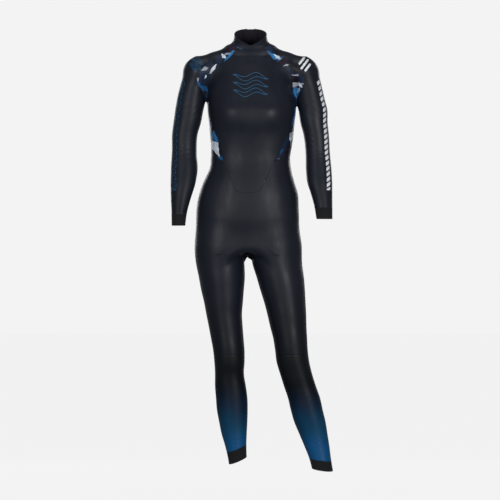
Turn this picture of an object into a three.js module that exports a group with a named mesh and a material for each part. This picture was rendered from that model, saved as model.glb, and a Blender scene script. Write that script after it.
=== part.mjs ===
// Full-length triathlon-style wetsuit, standing as if worn, with the back zip closed.
// Units are mm. +Z is up, the chest faces -Y, and +X is the wearer's left.
// The origin is the middle of the neck opening, level with the base of the collar.
import * as THREE from 'three';

// ---- Driving sizes -------------------------------------------------------------------

// Neoprene thicknesses.
const BODY_THICK = 3.0;
const SLEEVE_THICK = 2.2;
const CUFF_THICK = 2.0;
const COLLAR_THICK = 2.4;
const LINING_THICK = 0.8;
// Half of the joint left between two panels that are glued edge to edge.
const SEAM_HALF_GAP = 0.18;
// Clearance between two layers that lie on each other.
const LAYER_GAP = 0.6;

// Lengths that set how tall the suit is.
const WAIST_SIDE_Z = -312;
const CROTCH_SIDE_Z = -676;
const KNEE_SEAM_Z = -985;
const WRIST_CUFF_HEIGHT = 37;

// Back zip.
const ZIP_SLOT_HALF = 9;
const ZIP_TOP_Z = -36;
const ZIP_BOTTOM_Z = -390;
const TAPE_HALF = 15;
const TAPE_THICK = 0.8;
const COIL_INNER = 0.5;
const COIL_OUTER = 4.6;
const COIL_THICK = 2.5;
const UNDERLAY_HALF = 31;
const UNDERLAY_THICK = 1.2;
const SLIDER_Z = -52;
const SLIDER_LENGTH = 16;
const TAB_LENGTH = 36;

// Collar flap.
const FLAP_THICK = 2.2;
const PATCH_THICK = 0.9;

// Places where the seams meet the base of the collar, in degrees from the front.
const BASE_CHEST = 38;
const BASE_PRINT = 70;
const BASE_RAGLAN = 124;

// ---- The worn shape ------------------------------------------------------------------
// Each limb is a run of level sections: height, centre x, centre y, half width,
// depth to the front and depth to the back.

const TORSO = [
  [-35, 0, 0, 62, 50, 90.6],
  [-60, 0, 0, 95, 62, 90.0],
  [-100, 0, 0, 118, 80, 89.1],
  [-150, 2, 0, 134, 100, 87.9],
  [-207, 4, 0, 139, 118, 86.6],
  [-245, 4, 0, 136, 116, 85.7],
  [-283, 4, 0, 133, 104, 84.8],
  [-321, 3, 0, 129, 96, 83.9],
  [-359, 0, 0, 126, 92, 83.0],
  [-397, -1, 0, 131, 95, 82.1],
  [-412, -3, 0, 136, 97, 82.2],
  [-436, -5, 0, 145, 100, 87],
  [-474, -6, 0, 157, 103, 101],
  [-512, -9, 0, 162, 104, 113],
  [-550, -10, 0, 163, 102, 119],
  [-607, -10, 0, 160, 92, 112],
  [-630, -8, 0, 159, 90, 110],
];
const ARM_RIGHT = [
  [-95, -172, 8, 41, 48, 48],
  [-130, -181, 9, 43, 50, 50],
  [-170, -189, 10, 45, 48, 48],
  [-207, -195, 11, 45, 46, 46],
  [-245, -201, 12, 44, 45, 44],
  [-283, -209, 12, 41, 42, 42],
  [-340, -211, 10, 40, 40, 42],
  [-397, -211, 0, 43, 40, 42],
  [-436, -214, -10, 40, 38, 38],
  [-493, -222, -25, 31, 32, 32],
  [-531, -226, -35, 25, 29, 29],
  [-580, -229, -46, 21, 27, 27],
];
const ARM_LEFT = [
  [-95, 177, 8, 41, 48, 48],
  [-130, 184, 9, 43, 50, 50],
  [-170, 191, 10, 45, 48, 48],
  [-207, 199, 11, 46, 46, 46],
  [-245, 202, 12, 44, 45, 44],
  [-283, 209, 12, 41, 42, 42],
  [-340, 214, 10, 39, 40, 42],
  [-397, 217, 0, 41, 40, 42],
  [-436, 220, -10, 40, 38, 38],
  [-474, 226, -20, 34, 34, 34],
  [-512, 231, -30, 29, 30, 30],
  [-558, 235, -41, 25, 27, 27],
];
const LEG_RIGHT = [
  [-560, -84, 0, 60, 66, 84],
  [-620, -96, 0, 72, 82, 104],
  [-684, -96, 4, 76, 86, 96],
  [-741, -91, 4, 73, 84, 86],
  [-779, -89, 4, 68, 80, 80],
  [-817, -86, 3, 62, 75, 74],
  [-855, -84, 2, 57, 69, 68],
  [-894, -79, 0, 54, 64, 62],
  [-932, -74, -2, 52, 60, 57],
  [-970, -69, -3, 50, 57, 54],
  [-1008, -67, -2, 48, 53, 55],
  [-1046, -67, 2, 46, 47, 58],
  [-1084, -64, 6, 49, 46, 60],
  [-1122, -60, 10, 50, 46, 59],
  [-1161, -58, 13, 49, 45, 55],
  [-1199, -55, 15, 45, 42, 49],
  [-1237, -52, 17, 40, 39, 43],
  [-1275, -47, 18, 34, 36, 38],
  [-1313, -42, 18, 30, 34, 37],
  [-1350, -38, 16, 28, 34, 38],
];
const LEG_LEFT = [
  [-560, 74, 0, 60, 66, 84],
  [-620, 82, 0, 72, 82, 104],
  [-684, 83, 2, 79, 86, 96],
  [-741, 95, 0, 75, 84, 86],
  [-779, 102, -2, 71, 80, 80],
  [-817, 109, -4, 66, 75, 74],
  [-855, 115, -7, 62, 70, 68],
  [-894, 120, -9, 58, 65, 62],
  [-932, 126, -11, 54, 61, 57],
  [-970, 130, -12, 52, 57, 54],
  [-1008, 135, -11, 52, 53, 55],
  [-1046, 145, -8, 51, 49, 58],
  [-1084, 157, -3, 51, 47, 60],
  [-1122, 170, 2, 51, 47, 59],
  [-1161, 179, 6, 51, 46, 55],
  [-1199, 189, 9, 50, 43, 49],
  [-1237, 200, 12, 45, 39, 43],
  [-1275, 211, 14, 40, 36, 38],
  [-1313, 221, 15, 35, 34, 37],
  [-1370, 233, 15, 32, 34, 38],
];
const NECK = [
  [60, 0, 3, 52, 52, 56],
  [30, 0, 6, 52, 53, 57],
  [0, 0, 8, 57, 55, 60],
  [-40, 0, 8, 62, 60, 62],
];

// Smooth run of values through a list of level sections.
function sections(list) {
  const rows = [...list].sort((a, b) => a[0] - b[0]);
  const last = rows.length - 1;
  const width = rows[0].length - 1;
  const slopes = rows.map((row, i) => {
    const out = [];
    for (let k = 1; k <= width; k++) {
      const before = i > 0 ? (row[k] - rows[i - 1][k]) / (row[0] - rows[i - 1][0]) : null;
      const after = i < last ? (rows[i + 1][k] - row[k]) / (rows[i + 1][0] - row[0]) : null;
      if (before === null) out.push(after);
      else if (after === null) out.push(before);
      else {
        const h0 = row[0] - rows[i - 1][0];
        const h1 = rows[i + 1][0] - row[0];
        out.push((before * h1 + after * h0) / (h0 + h1));
      }
    }
    return out;
  });
  const at = (z) => {
    const zc = Math.min(Math.max(z, rows[0][0]), rows[last][0]);
    let i = 0;
    while (i < last - 1 && zc > rows[i + 1][0]) i++;
    const h = rows[i + 1][0] - rows[i][0];
    const t = (zc - rows[i][0]) / h;
    const a = (2 * t - 3) * t * t + 1;
    const b = ((t - 2) * t + 1) * t * h;
    const c = (3 - 2 * t) * t * t;
    const d = (t - 1) * t * t * h;
    const out = [];
    for (let k = 0; k < width; k++) {
      out.push(a * rows[i][k + 1] + b * slopes[i][k] + c * rows[i + 1][k + 1] + d * slopes[i + 1][k]);
    }
    return out;
  };
  return { at, top: rows[last][0], bottom: rows[0][0] };
}

const torsoRun = sections(TORSO);
const neckRun = sections(NECK);
const armRuns = { right: sections(ARM_RIGHT), left: sections(ARM_LEFT) };
const legRuns = { right: sections(LEG_RIGHT), left: sections(LEG_LEFT) };

// Distance-like value of a limb: below zero inside, above zero outside.
function limb(run, power, capTop, capBottom, x, y, z, soft = 0) {
  const [cx, cy, half, front, back] = run.at(z);
  const qx = x - cx;
  const qy = y - cy;
  const q = Math.hypot(qx, qy) + 1e-9;
  const depth = qy < 0 ? front : back;
  const ux = Math.abs(qx) / q / half;
  const uy = Math.abs(qy) / q / depth;
  const radius = (ux ** power + uy ** power) ** (-1 / power);
  const core = 1 - soft * Math.min(q / radius, 1) ** 2;
  const over = Math.max(z - run.top, 0) * capTop + Math.max(run.bottom - z, 0) * capBottom * core;
  return Math.hypot(q, over) - radius;
}

// Rounded bar between two points, squashed along y.
function bar(a, b, ra, rb, squash, x, y, z) {
  const ab = [b[0] - a[0], (b[1] - a[1]) * squash, b[2] - a[2]];
  const q = [x - a[0], (y - a[1]) * squash, z - a[2]];
  const along = (q[0] * ab[0] + q[1] * ab[1] + q[2] * ab[2]) / (ab[0] ** 2 + ab[1] ** 2 + ab[2] ** 2);
  const t = Math.min(Math.max(along, 0), 1);
  const gap = Math.hypot(q[0] - t * ab[0], q[1] - t * ab[1], q[2] - t * ab[2]);
  return gap - (ra + (rb - ra) * t);
}

// Union of two values with a rounded inside corner about k wide.
function blend(a, b, k) {
  const h = Math.max(k - Math.abs(a - b), 0) / k;
  return Math.min(a, b) - h * h * k * 0.25;
}

function bust(x, y, z) {
  if (y >= 0) return 0;
  const one = (cx) => Math.exp(-(((x - cx) / 45) ** 2) - ((z + 215) / 42) ** 2);
  return 7 * (one(-72) + one(78));
}

// The whole worn shape. The suit's outer face is where this is zero.
function body(x, y, z) {
  let f = limb(torsoRun, 2.35, 1.6, 3.4, x, y, z, 0.7) - bust(x, y, z);
  for (const [side, s] of [['right', -1], ['left', 1]]) {
    const inner = bar([40 * s, 14, -36], [110 * s, 12, -63], 40, 40, 0.78, x, y, z);
    const outer = bar([110 * s, 12, -63], [162 * s, 9, -78], 40, 39, 0.78, x, y, z);
    const arm = limb(armRuns[side], 2.1, 1, 6, x, y, z);
    const rise = Math.min(Math.max((z + 195) / 85, 0), 1);
    const armpitBlend = s < 0 ? 20 : 16;
    f = blend(f, blend(blend(inner, outer, 8), arm, 34), armpitBlend + (36 - armpitBlend) * rise * rise);
  }
  const neck = limb(neckRun, 2, 1, 1, x, y, z);
  const shelf = bar([-66, 14, -14], [66, 14, -14], 13, 13, 0.26, x, y, z);
  f = blend(f, blend(neck, shelf, 12), 16);
  const legs = blend(
    limb(legRuns.left, 2.1, 1, 6, x, y, z),
    limb(legRuns.right, 2.1, 1, 6, x, y, z),
    10,
  );
  return blend(f, legs, 34);
}

function outward(p) {
  const e = 0.6;
  const g = [
    body(p[0] + e, p[1], p[2]) - body(p[0] - e, p[1], p[2]),
    body(p[0], p[1] + e, p[2]) - body(p[0], p[1] - e, p[2]),
    body(p[0], p[1], p[2] + e) - body(p[0], p[1], p[2] - e),
  ];
  const size = Math.hypot(...g);
  return g.map((v) => v / size);
}

// ---- Points on the worn shape --------------------------------------------------------

const add = (a, b, k = 1) => [a[0] + b[0] * k, a[1] + b[1] * k, a[2] + b[2] * k];
const dot = (a, b) => a[0] * b[0] + a[1] * b[1] + a[2] * b[2];
const unit = (a) => a.map((v) => v / Math.hypot(...a));
const cross = (a, b) => [
  a[1] * b[2] - a[2] * b[1],
  a[2] * b[0] - a[0] * b[2],
  a[0] * b[1] - a[1] * b[0],
];
const mix = (a, b, t) => a + (b - a) * t;
const mixPoint = (a, b, t) => a.map((v, k) => mix(v, b[k], t));

// First point of the skin met when leaving an inside point in a direction.
function cast(from, direction) {
  const d = unit(direction);
  let r = 0;
  for (let i = 0; i < 160; i++) {
    const p = add(from, d, r);
    const f = body(p[0], p[1], p[2]);
    r += Math.min(Math.max(-f, -4), 30) * 0.7;
    if (Math.abs(f) < 1e-5) break;
  }
  return add(from, d, r);
}

// Nearest-ish point of the skin, reached by sliding along the outward direction.
function settle(p) {
  let q = p;
  for (let i = 0; i < 14; i++) {
    q = add(q, outward(q), -0.8 * body(q[0], q[1], q[2]));
  }
  return q;
}

const SIDES = [['right', -1], ['left', 1]];
const midX = (z) => torsoRun.at(z)[0];
const onFront = (x, z) => cast([x, 5, z], [0, -1, 0]);
const onBack = (x, z) => cast([x, 12, z], [0, 1, 0]);
// Point of the torso seen at an angle from the front, in degrees.
const around = (degrees, z, s) => {
  const a = THREE.MathUtils.degToRad(degrees);
  return cast([midX(z), 0, z], [s * Math.sin(a), -Math.cos(a), 0]);
};

// Samples of a smooth seam through points of the skin, at shares of its length.
function seam(points, shares) {
  const curve = new THREE.CatmullRomCurve3(
    points.map((p) => new THREE.Vector3(...p)),
    false,
    'centripetal',
  );
  return shares.map((t) => {
    if (t === 0) return points[0];
    if (t === 1) return points[points.length - 1];
    return settle(curve.getPointAt(t).toArray());
  });
}

const join = (...runs) => runs.reduce((all, run) => (all.length ? [...all, ...run.slice(1)] : [...run]), []);

// One row of skin points from a to b, turning about o from the e2 side past e1.
// A row whose ends are the same point goes the whole way round.
function fanAngles(p, o, e1, e2) {
  const q = add(p, o, -1);
  const axis = cross(e1, e2);
  const h = dot(q, axis);
  const flat = add(q, axis, -h);
  return { angle: Math.atan2(dot(q, e2), dot(q, e1)), h, reach: Math.hypot(...flat) };
}

function fanRow(a, b, o, e1, e2, steps, nudge = null) {
  const axis = cross(e1, e2);
  const start = fanAngles(a, o, e1, e2);
  const end = fanAngles(b, o, e1, e2);
  if (a === b) {
    start.angle = Math.abs(start.angle);
    end.angle = start.angle - 2 * Math.PI;
  }
  const last = steps.length - 1;
  return steps.map((t, j) => {
    if (j === 0) return a;
    if (j === last) return b;
    const angle = mix(start.angle, end.angle, t) + (nudge ? nudge[j][0] : 0);
    const h = mix(start.h, end.h, t) + (nudge ? nudge[j][1] : 0);
    const reach = mix(start.reach, end.reach, t);
    const aim = add(add([0, 0, 0], e1, reach * Math.cos(angle)), e2, reach * Math.sin(angle));
    return cast(o, add(aim, axis, h));
  });
}

// How far a given row departs from the plain row between its ends.
function departure(row, o, e1, e2, steps) {
  const start = fanAngles(row[0], o, e1, e2);
  const end = fanAngles(row[row.length - 1], o, e1, e2);
  return row.map((p, j) => {
    const here = fanAngles(p, o, e1, e2);
    return [here.angle - mix(start.angle, end.angle, steps[j]), here.h - mix(start.h, end.h, steps[j])];
  });
}

const even = (n) => Array.from({ length: n + 1 }, (_, i) => i / n);
const pace = (from, to, n) => even(n).map((t) => mix(from, to, t));

// A patch of rows between two edges. A given first or last row is kept exactly, and the
// rows next to it follow its shape less and less.
function fanPatch({ starts, ends, frame, steps, first = null, last = null, fade = starts.length - 1 }) {
  const rows = starts.length - 1;
  const top = first && departure(first, frame(0).o, frame(0).e1, frame(0).e2, steps);
  const foot = last && departure(last, frame(rows).o, frame(rows).e1, frame(rows).e2, steps);
  return starts.map((a, i) => {
    if (first && i === 0) return first;
    if (last && i === rows) return last;
    const { o, e1, e2 } = frame(i);
    const pull = top ? Math.max(1 - i / fade, 0) : 0;
    const push = foot ? Math.max(1 - (rows - i) / fade, 0) : 0;
    const nudge = steps.map((_, j) => [
      pull * (top ? top[j][0] : 0) + push * (foot ? foot[j][0] : 0),
      pull * (top ? top[j][1] : 0) + push * (foot ? foot[j][1] : 0),
    ]);
    return fanRow(a, ends[i], o, e1, e2, steps, nudge);
  });
}

// ---- Turning patches into closed solids ----------------------------------------------

// Joins grids of points into one skin, pulls its edges in by half a seam gap, and gives
// it thickness. Offsets are measured from the grid along the outward direction.
function sheet(grids, thickness, options = {}) {
  const { lift = 0, gap = SEAM_HALF_GAP, direction = outward } = options;
  const points = [];
  const index = new Map();
  const idOf = (p) => {
    const key = p.map((v) => Math.round(v * 500)).join();
    if (!index.has(key)) {
      index.set(key, points.length);
      points.push(p);
    }
    return index.get(key);
  };
  const faces = [];
  const ids = grids.map((grid) => grid.map((row) => row.map(idOf)));
  const normals = points.map(direction);
  const facing = ([a, b, c]) => {
    const n = cross(add(points[b], points[a], -1), add(points[c], points[a], -1));
    return dot(n, add(add(normals[a], normals[b]), normals[c]));
  };
  for (const grid of ids) {
    const own = [];
    const face = (a, b, c) => {
      if (a !== b && b !== c && a !== c) own.push([a, b, c]);
    };
    for (let i = 0; i + 1 < grid.length; i++) {
      for (let j = 0; j + 1 < grid[i].length; j++) {
        const [a, b, c, d] = [grid[i][j], grid[i][j + 1], grid[i + 1][j + 1], grid[i + 1][j]];
        const ac = Math.hypot(...add(points[a], points[c], -1));
        const bd = Math.hypot(...add(points[b], points[d], -1));
        if (ac < bd) {
          face(a, b, c);
          face(a, c, d);
        } else {
          face(a, b, d);
          face(b, c, d);
        }
      }
    }
    const outside = own.reduce((total, f) => total + facing(f), 0) > 0;
    faces.push(...own.map(([a, b, c]) => (outside ? [a, b, c] : [a, c, b])));
  }
  const used = new Set(faces.flatMap(([a, b, c]) => [`${a},${b}`, `${b},${c}`, `${c},${a}`]));
  const rim = [...used].map((key) => key.split(',').map(Number)).filter(([a, b]) => !used.has(`${b},${a}`));
  const inward = new Map();
  for (const [a, b] of rim) {
    const along = unit(add(points[b], points[a], -1));
    for (const v of [a, b]) {
      inward.set(v, [...(inward.get(v) ?? []), unit(cross(normals[v], along))]);
    }
  }
  const outer = points.map((p, v) => {
    const pulls = inward.get(v);
    const moved = add(p, normals[v], typeof lift === 'function' ? lift(p) : lift);
    if (!pulls) return moved;
    const sum = pulls.reduce((total, d) => add(total, d), [0, 0, 0]);
    const share = Math.max(dot(sum, sum) / 2, 0.3);
    return add(moved, sum, gap / share);
  });
  const inner = outer.map((p, v) => add(p, normals[v], -thickness));
  const n = points.length;
  const triangles = faces.flatMap(([a, b, c]) => [a, b, c, c + n, b + n, a + n]);
  for (const [a, b] of rim) {
    if (comesFirst(points[a], points[b])) triangles.push(b, a, b + n, a, a + n, b + n);
    else triangles.push(b, a, a + n, b, a + n, b + n);
  }
  return solid([...outer, ...inner], triangles);
}

// Order of two seam points, so that both sides of a seam split its edge faces alike.
function comesFirst(p, q) {
  const k = [2, 0, 1].find((axis) => Math.abs(p[axis] - q[axis]) > 0.01) ?? 2;
  return p[k] < q[k];
}

function solid(points, triangles) {
  const geometry = new THREE.BufferGeometry();
  geometry.setAttribute('position', new THREE.Float32BufferAttribute(points.flat(), 3));
  geometry.setIndex(triangles);
  return geometry;
}

const group = new THREE.Group();
group.name = 'wetsuit';

const COLOURS = {
  smooth: [0x25272e, 0.45],
  print: [0x1d3f6b, 0.5],
  knit: [0x17181c, 0.85],
  lower: [0x10456e, 0.5],
  lining: [0x2a2436, 0.8],
  zip: [0x0c0d0f, 0.6],
  metal: [0x5b5f66, 0.35],
};

function part(name, geometry, look) {
  const [color, roughness] = COLOURS[look];
  const material = new THREE.MeshStandardMaterial({
    color,
    roughness,
    metalness: look === 'metal' ? 0.8 : 0,
  });
  material.name = look;
  const mesh = new THREE.Mesh(geometry, material);
  mesh.name = name;
  group.add(mesh);
}

// ---- Collar base and rim -------------------------------------------------------------

const baseHeight = (degrees) => {
  const turn = Math.min((Math.abs(degrees) * 180) / 95, 180);
  return -20 + 16 * (1 - Math.cos(THREE.MathUtils.degToRad(turn)));
};
const rimHeight = (degrees) => {
  const half = Math.sin(THREE.MathUtils.degToRad(degrees / 2));
  return -2 + 60 * (Math.sqrt(half * half + 0.005) - 0.07);
};
const onNeck = (degrees, z) => {
  const a = THREE.MathUtils.degToRad(degrees);
  return cast([0, 8, z], [Math.sin(a), -Math.cos(a), 0]);
};
const onBase = (degrees) => onNeck(degrees, baseHeight(degrees));
const baseRun = (from, to, n) => pace(from, to, n).map(onBase);

// The last collar-base angle before the zip slot.
const BASE_ZIP = 180 - THREE.MathUtils.radToDeg(Math.asin(ZIP_SLOT_HALF / 66));

// ---- Seams of one side ---------------------------------------------------------------

const N_RAGLAN = 9;
const N_SIDE = 6;
const N_DAGGER = 3;
const N_CURVE = 4;
const N_CHEST = 8;
const N_PRINT = 2;
const N_BACK = 9;
const N_HIP = 8;
const N_THIGH = 6;
const N_SHIN = 6;
const N_ARM = 14;
const N_SLEEVE = 8;
// The seams turn sharply at the armpit, so their samples are closest together there.
const RAGLAN_SHARES = [0, 0.15, 0.3, 0.45, 0.6, 0.73, 0.83, 0.91, 0.96, 1];
const SIDE_SHARES = [0, 0.015, 0.045, 0.13, 0.42, 0.71, 1];
const PRINT_SHARES = [0, 0.05, 0.12, 0.25, 0.48, 0.74, 1];

// Middle of the lowest edge of the chest shield.
const shieldFoot = onFront(-8, -471);
const crotch = cast([-8, 12, -600], [0, 0, -1]);

const sideAt = (s, z) => {
  const [cx, cy] = z > -600 ? [midX(z), 12] : legCentre(s, z);
  return cast([cx, z > -600 ? 12 : cy + 9, z], [s, 0, 0]);
};
const nameOf = (s) => (s < 0 ? 'right' : 'left');
const legCentre = (s, z) => legRuns[nameOf(s)].at(z);
const armCentre = (s, z) => armRuns[nameOf(s)].at(z);

function seamsOf(s) {
  const start = (degrees) => onBase(degrees * s);
  const front = (x, z) => onFront(x * s, z);
  const back = (x, z) => onBack(x * s, z);
  const torsoFace = cast([midX(-214), 8, -214], [s, 0, 0])[0];
  const armFace = cast([...armCentre(s, -214).slice(0, 2), -214], [-s, 0, 0])[0];
  const armpit = cast([(torsoFace + armFace) / 2, 8, -130], [0, 0, -1]);
  const waist = sideAt(s, WAIST_SIDE_Z);
  const tip = front(81 - 6 * s, -373);
  const raglanFront = seam([start(BASE_PRINT), front(95, -31), front(122, -48), front(150, -73),
    front(167, -97), front(170, -117), front(166, -139), front(156, -166), armpit], RAGLAN_SHARES);
  const raglanBack = seam([start(BASE_RAGLAN), back(80, -24), back(112, -44), back(142, -74),
    back(160, -104), back(164, -132), back(158, -164), armpit], RAGLAN_SHARES);
  const underArm = settle(add(armpit, [-3 * s, 0, -2.5]));
  const side = seam([armpit, underArm, sideAt(s, armpit[2] - 12), sideAt(s, -236), sideAt(s, -270),
    waist], SIDE_SHARES);
  const dagger = seam([waist, around(76, -334, s), tip], even(N_DAGGER));
  const printTop = seam([start(BASE_CHEST), front(64, -39), front(84, -54), front(102, -70),
    front(125, -92), front(133, -114), front(135, -142), around(72, -188, s)], even(N_RAGLAN));
  const printMid = seam([printTop[N_RAGLAN], around(70, -231, s), around(67, -262, s),
    around(57, -306, s)], PRINT_SHARES);
  const printFoot = seam([printMid[N_SIDE], around(53, -340, s), tip], even(N_DAGGER));
  const shoulder = front(41 - 8 * s, -460);
  const curve = seam([tip, front(62 - 6 * s, -413), shoulder], even(N_CURVE));
  const foot = seam([shoulder, front(24 - 8 * s, -469), shieldFoot], even(N_CHEST / 2));
  const waistBack = seam([waist, around(128, -340, s), around(155, -386, s),
    onBack(midX(-430), -430)], even(N_BACK));
  return { armpit, waist, raglanFront, raglanBack, side, dagger, printTop, printMid, printFoot,
    curve, foot, waistBack };
}

const seams = { right: seamsOf(-1), left: seamsOf(1) };

const FRONT = [0, -1, 0];
const REAR = [0, 1, 0];
const outwardX = (s) => [s, 0, 0];

// ---- Chest shield --------------------------------------------------------------------

const shieldEdge = ({ printTop, printMid, printFoot, curve }) => join(printTop, printMid, printFoot, curve);
const chestStarts = shieldEdge(seams.right);
const chestEnds = shieldEdge(seams.left);
const chestRows = fanPatch({
  starts: chestStarts,
  ends: chestEnds,
  frame: (i) => {
    const z = Math.min((chestStarts[i][2] + chestEnds[i][2]) / 2, -45);
    return { o: [midX(z), 0, z], e1: FRONT, e2: outwardX(-1) };
  },
  steps: even(N_CHEST),
  first: baseRun(-BASE_CHEST, BASE_CHEST, N_CHEST),
  last: join(seams.right.foot, [...seams.left.foot].reverse()),
  fade: 4,
});
part('chest_panel', sheet([chestRows], BODY_THICK), 'smooth');

// ---- Printed side panels, back panels ------------------------------------------------

const zipSurface = (x, z) => onBack(x, z);
const zipEdgeHeights = [-8, ...pace(-26, ZIP_BOTTOM_Z - 4, N_RAGLAN + N_SIDE - 3)];

for (const [name, s] of SIDES) {
  const { raglanFront, raglanBack, side, dagger, printTop, printMid, printFoot, waistBack } = seams[name];
  const innerEdge = join(printTop, printMid, printFoot);
  const outerEdge = join(raglanFront, side, dagger);
  const printRows = innerEdge.map((a, i) => {
    if (i === 0) return baseRun(BASE_CHEST * s, BASE_PRINT * s, N_PRINT);
    return even(N_PRINT).map((t, j) => {
      if (j === 0) return a;
      if (j === N_PRINT) return outerEdge[i];
      return settle(mixPoint(a, outerEdge[i], t));
    });
  });
  part(`side_panel_${name}`, sheet([printRows], BODY_THICK), 'print');

  const zipTop = onBase(BASE_ZIP * s);
  const zipEdge = join(
    [zipTop, ...zipEdgeHeights.map((z) => zipSurface(ZIP_SLOT_HALF * s, z))],
    [zipTop, waistBack[N_BACK]],
  );
  const backSteps = [0, 0.07, 0.17, 0.29, 0.41, 0.53, 0.65, 0.77, 0.89, 1];
  const backEnds = join(raglanBack, side);
  const backRows = fanPatch({
    starts: zipEdge,
    ends: backEnds,
    frame: (i) => {
      const z = Math.min((zipEdge[i][2] + backEnds[i][2]) / 2, -40);
      return { o: [0, 0, z], e1: REAR, e2: outwardX(s) };
    },
    steps: backSteps,
    first: backSteps.map((t) => onBase(mix(BASE_ZIP, BASE_RAGLAN, t) * s)),
    last: [...waistBack].reverse(),
    fade: 3,
  });
  part(`back_panel_${name}`, sheet([backRows], BODY_THICK), 'smooth');
}

// ---- Hips and legs -------------------------------------------------------------------

// Points down the middle of the body, from a start height under to the crotch.
function middleLine(startPoint, facing, count) {
  const pivot = -575;
  return even(count).map((t, i) => {
    if (i === 0) return startPoint;
    if (i === count) return crotch;
    const straight = 0.42;
    if (t < straight) {
      const z = mix(startPoint[2], pivot, t / straight);
      return cast([midX(z), 0, z], [0, facing, 0]);
    }
    const turn = ((t - straight) / (1 - straight)) * (Math.PI / 2);
    return cast([-8, 12 * Math.sin(turn), pivot], [0, facing * Math.cos(turn), -Math.sin(turn)]);
  });
}

const middleFront = middleLine(shieldFoot, -1, N_HIP);

function legRing(s, z, tilt = [0, 0]) {
  const [cx, cy] = legCentre(s, z);
  const level = unit([-tilt[0], -tilt[1], 1]);
  const flatten = (v) => unit(add(v, level, -dot(v, level)));
  const o = [cx, cy, z];
  const outerPoint = cast(o, flatten([s, 0.13, 0]));
  const innerPoint = cast(o, flatten([-s, 0.13, 0]));
  const e1 = flatten(FRONT);
  const e2 = unit(cross(e1, level).map((v) => v * -s));
  return { o, outerPoint, innerPoint, e1, e2, rear: e1.map((v) => -v) };
}

const N_LEG_FRONT = N_DAGGER + N_CURVE + N_CHEST / 2;
const legFrontSteps = even(N_LEG_FRONT);
const legRearSteps = even(N_BACK);
const hipSideZ = (i) => mix(WAIST_SIDE_Z, CROTCH_SIDE_Z, i / N_HIP);
const hipGrids = [];
const kneeRings = {};

for (const [name, s] of SIDES) {
  const { dagger, curve, foot, waist, waistBack } = seams[name];
  const middleBack = middleLine(waistBack[N_BACK], 1, N_HIP);
  const rings = pace(CROTCH_SIDE_Z, KNEE_SEAM_Z, N_THIGH).slice(1).map((z) => legRing(s, z));
  const outerEdge = [
    ...even(N_HIP).map((_, i) => (i === 0 ? waist : sideAt(s, hipSideZ(i)))),
    ...rings.map((ring) => ring.outerPoint),
  ];
  const innerEdge = (middle) => [...middle, ...rings.map((ring) => ring.innerPoint)];
  const frame = (facing) => (i) => {
    if (i > N_HIP) {
      const ring = rings[i - N_HIP - 1];
      return { o: ring.o, e1: facing, e2: outwardX(s) };
    }
    const z = hipSideZ(i);
    const cx = mix(60 * s, legCentre(s, CROTCH_SIDE_Z)[0], i / N_HIP);
    return { o: [cx, 2, mix(z - 40, z + 36, i / N_HIP)], e1: facing, e2: outwardX(s) };
  };
  const frontRows = fanPatch({
    starts: outerEdge,
    ends: innerEdge(middleFront),
    frame: frame(FRONT),
    steps: legFrontSteps,
    first: join(dagger, curve, foot),
    fade: N_HIP,
  });
  hipGrids.push(frontRows);
  const rearRows = fanPatch({
    starts: outerEdge,
    ends: innerEdge(middleBack),
    frame: frame(REAR),
    steps: legRearSteps,
    first: waistBack,
    fade: N_HIP,
  });
  part(`seat_panel_${name}`, sheet([rearRows], BODY_THICK), 'smooth');
  const rows = frontRows.length - 1;
  kneeRings[name] = join(frontRows[rows], [...rearRows[rows]].reverse());
}
part('hip_panel_front', sheet(hipGrids, BODY_THICK), 'smooth');

// Ankle seam and hem of each leg: height at the leg's centre, and the slope along x and y.
const ANKLES = {
  right: { seamZ: -1283, hemZ: -1322, tilt: [0.4, 0.12] },
  left: { seamZ: -1318, hemZ: -1351, tilt: [-0.12, 0.12] },
};

for (const [name, s] of SIDES) {
  const { seamZ, hemZ, tilt } = ANKLES[name];
  const ringRow = (z, share) => {
    const ring = legRing(s, z, tilt.map((v) => v * share));
    const front = fanRow(ring.outerPoint, ring.innerPoint, ring.o, ring.e1, ring.e2, legFrontSteps);
    const rear = fanRow(ring.outerPoint, ring.innerPoint, ring.o, ring.rear, ring.e2, legRearSteps);
    return join(front, rear.reverse());
  };
  const shinRows = even(N_SHIN).map((t, i) => {
    if (i === 0) return kneeRings[name];
    return ringRow(mix(KNEE_SEAM_Z, seamZ, t), t);
  });
  part(`shin_panel_${name}`, sheet([shinRows], BODY_THICK), 'lower');
  const cuffRows = [shinRows[N_SHIN], ringRow((seamZ + hemZ) / 2, 1), ringRow(hemZ, 1)];
  part(`ankle_cuff_${name}`, sheet([cuffRows], CUFF_THICK), 'knit');
}

// ---- Sleeves and wrist cuffs ---------------------------------------------------------

const WRIST_SEAM_Z = { right: -538, left: -517 };

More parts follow.
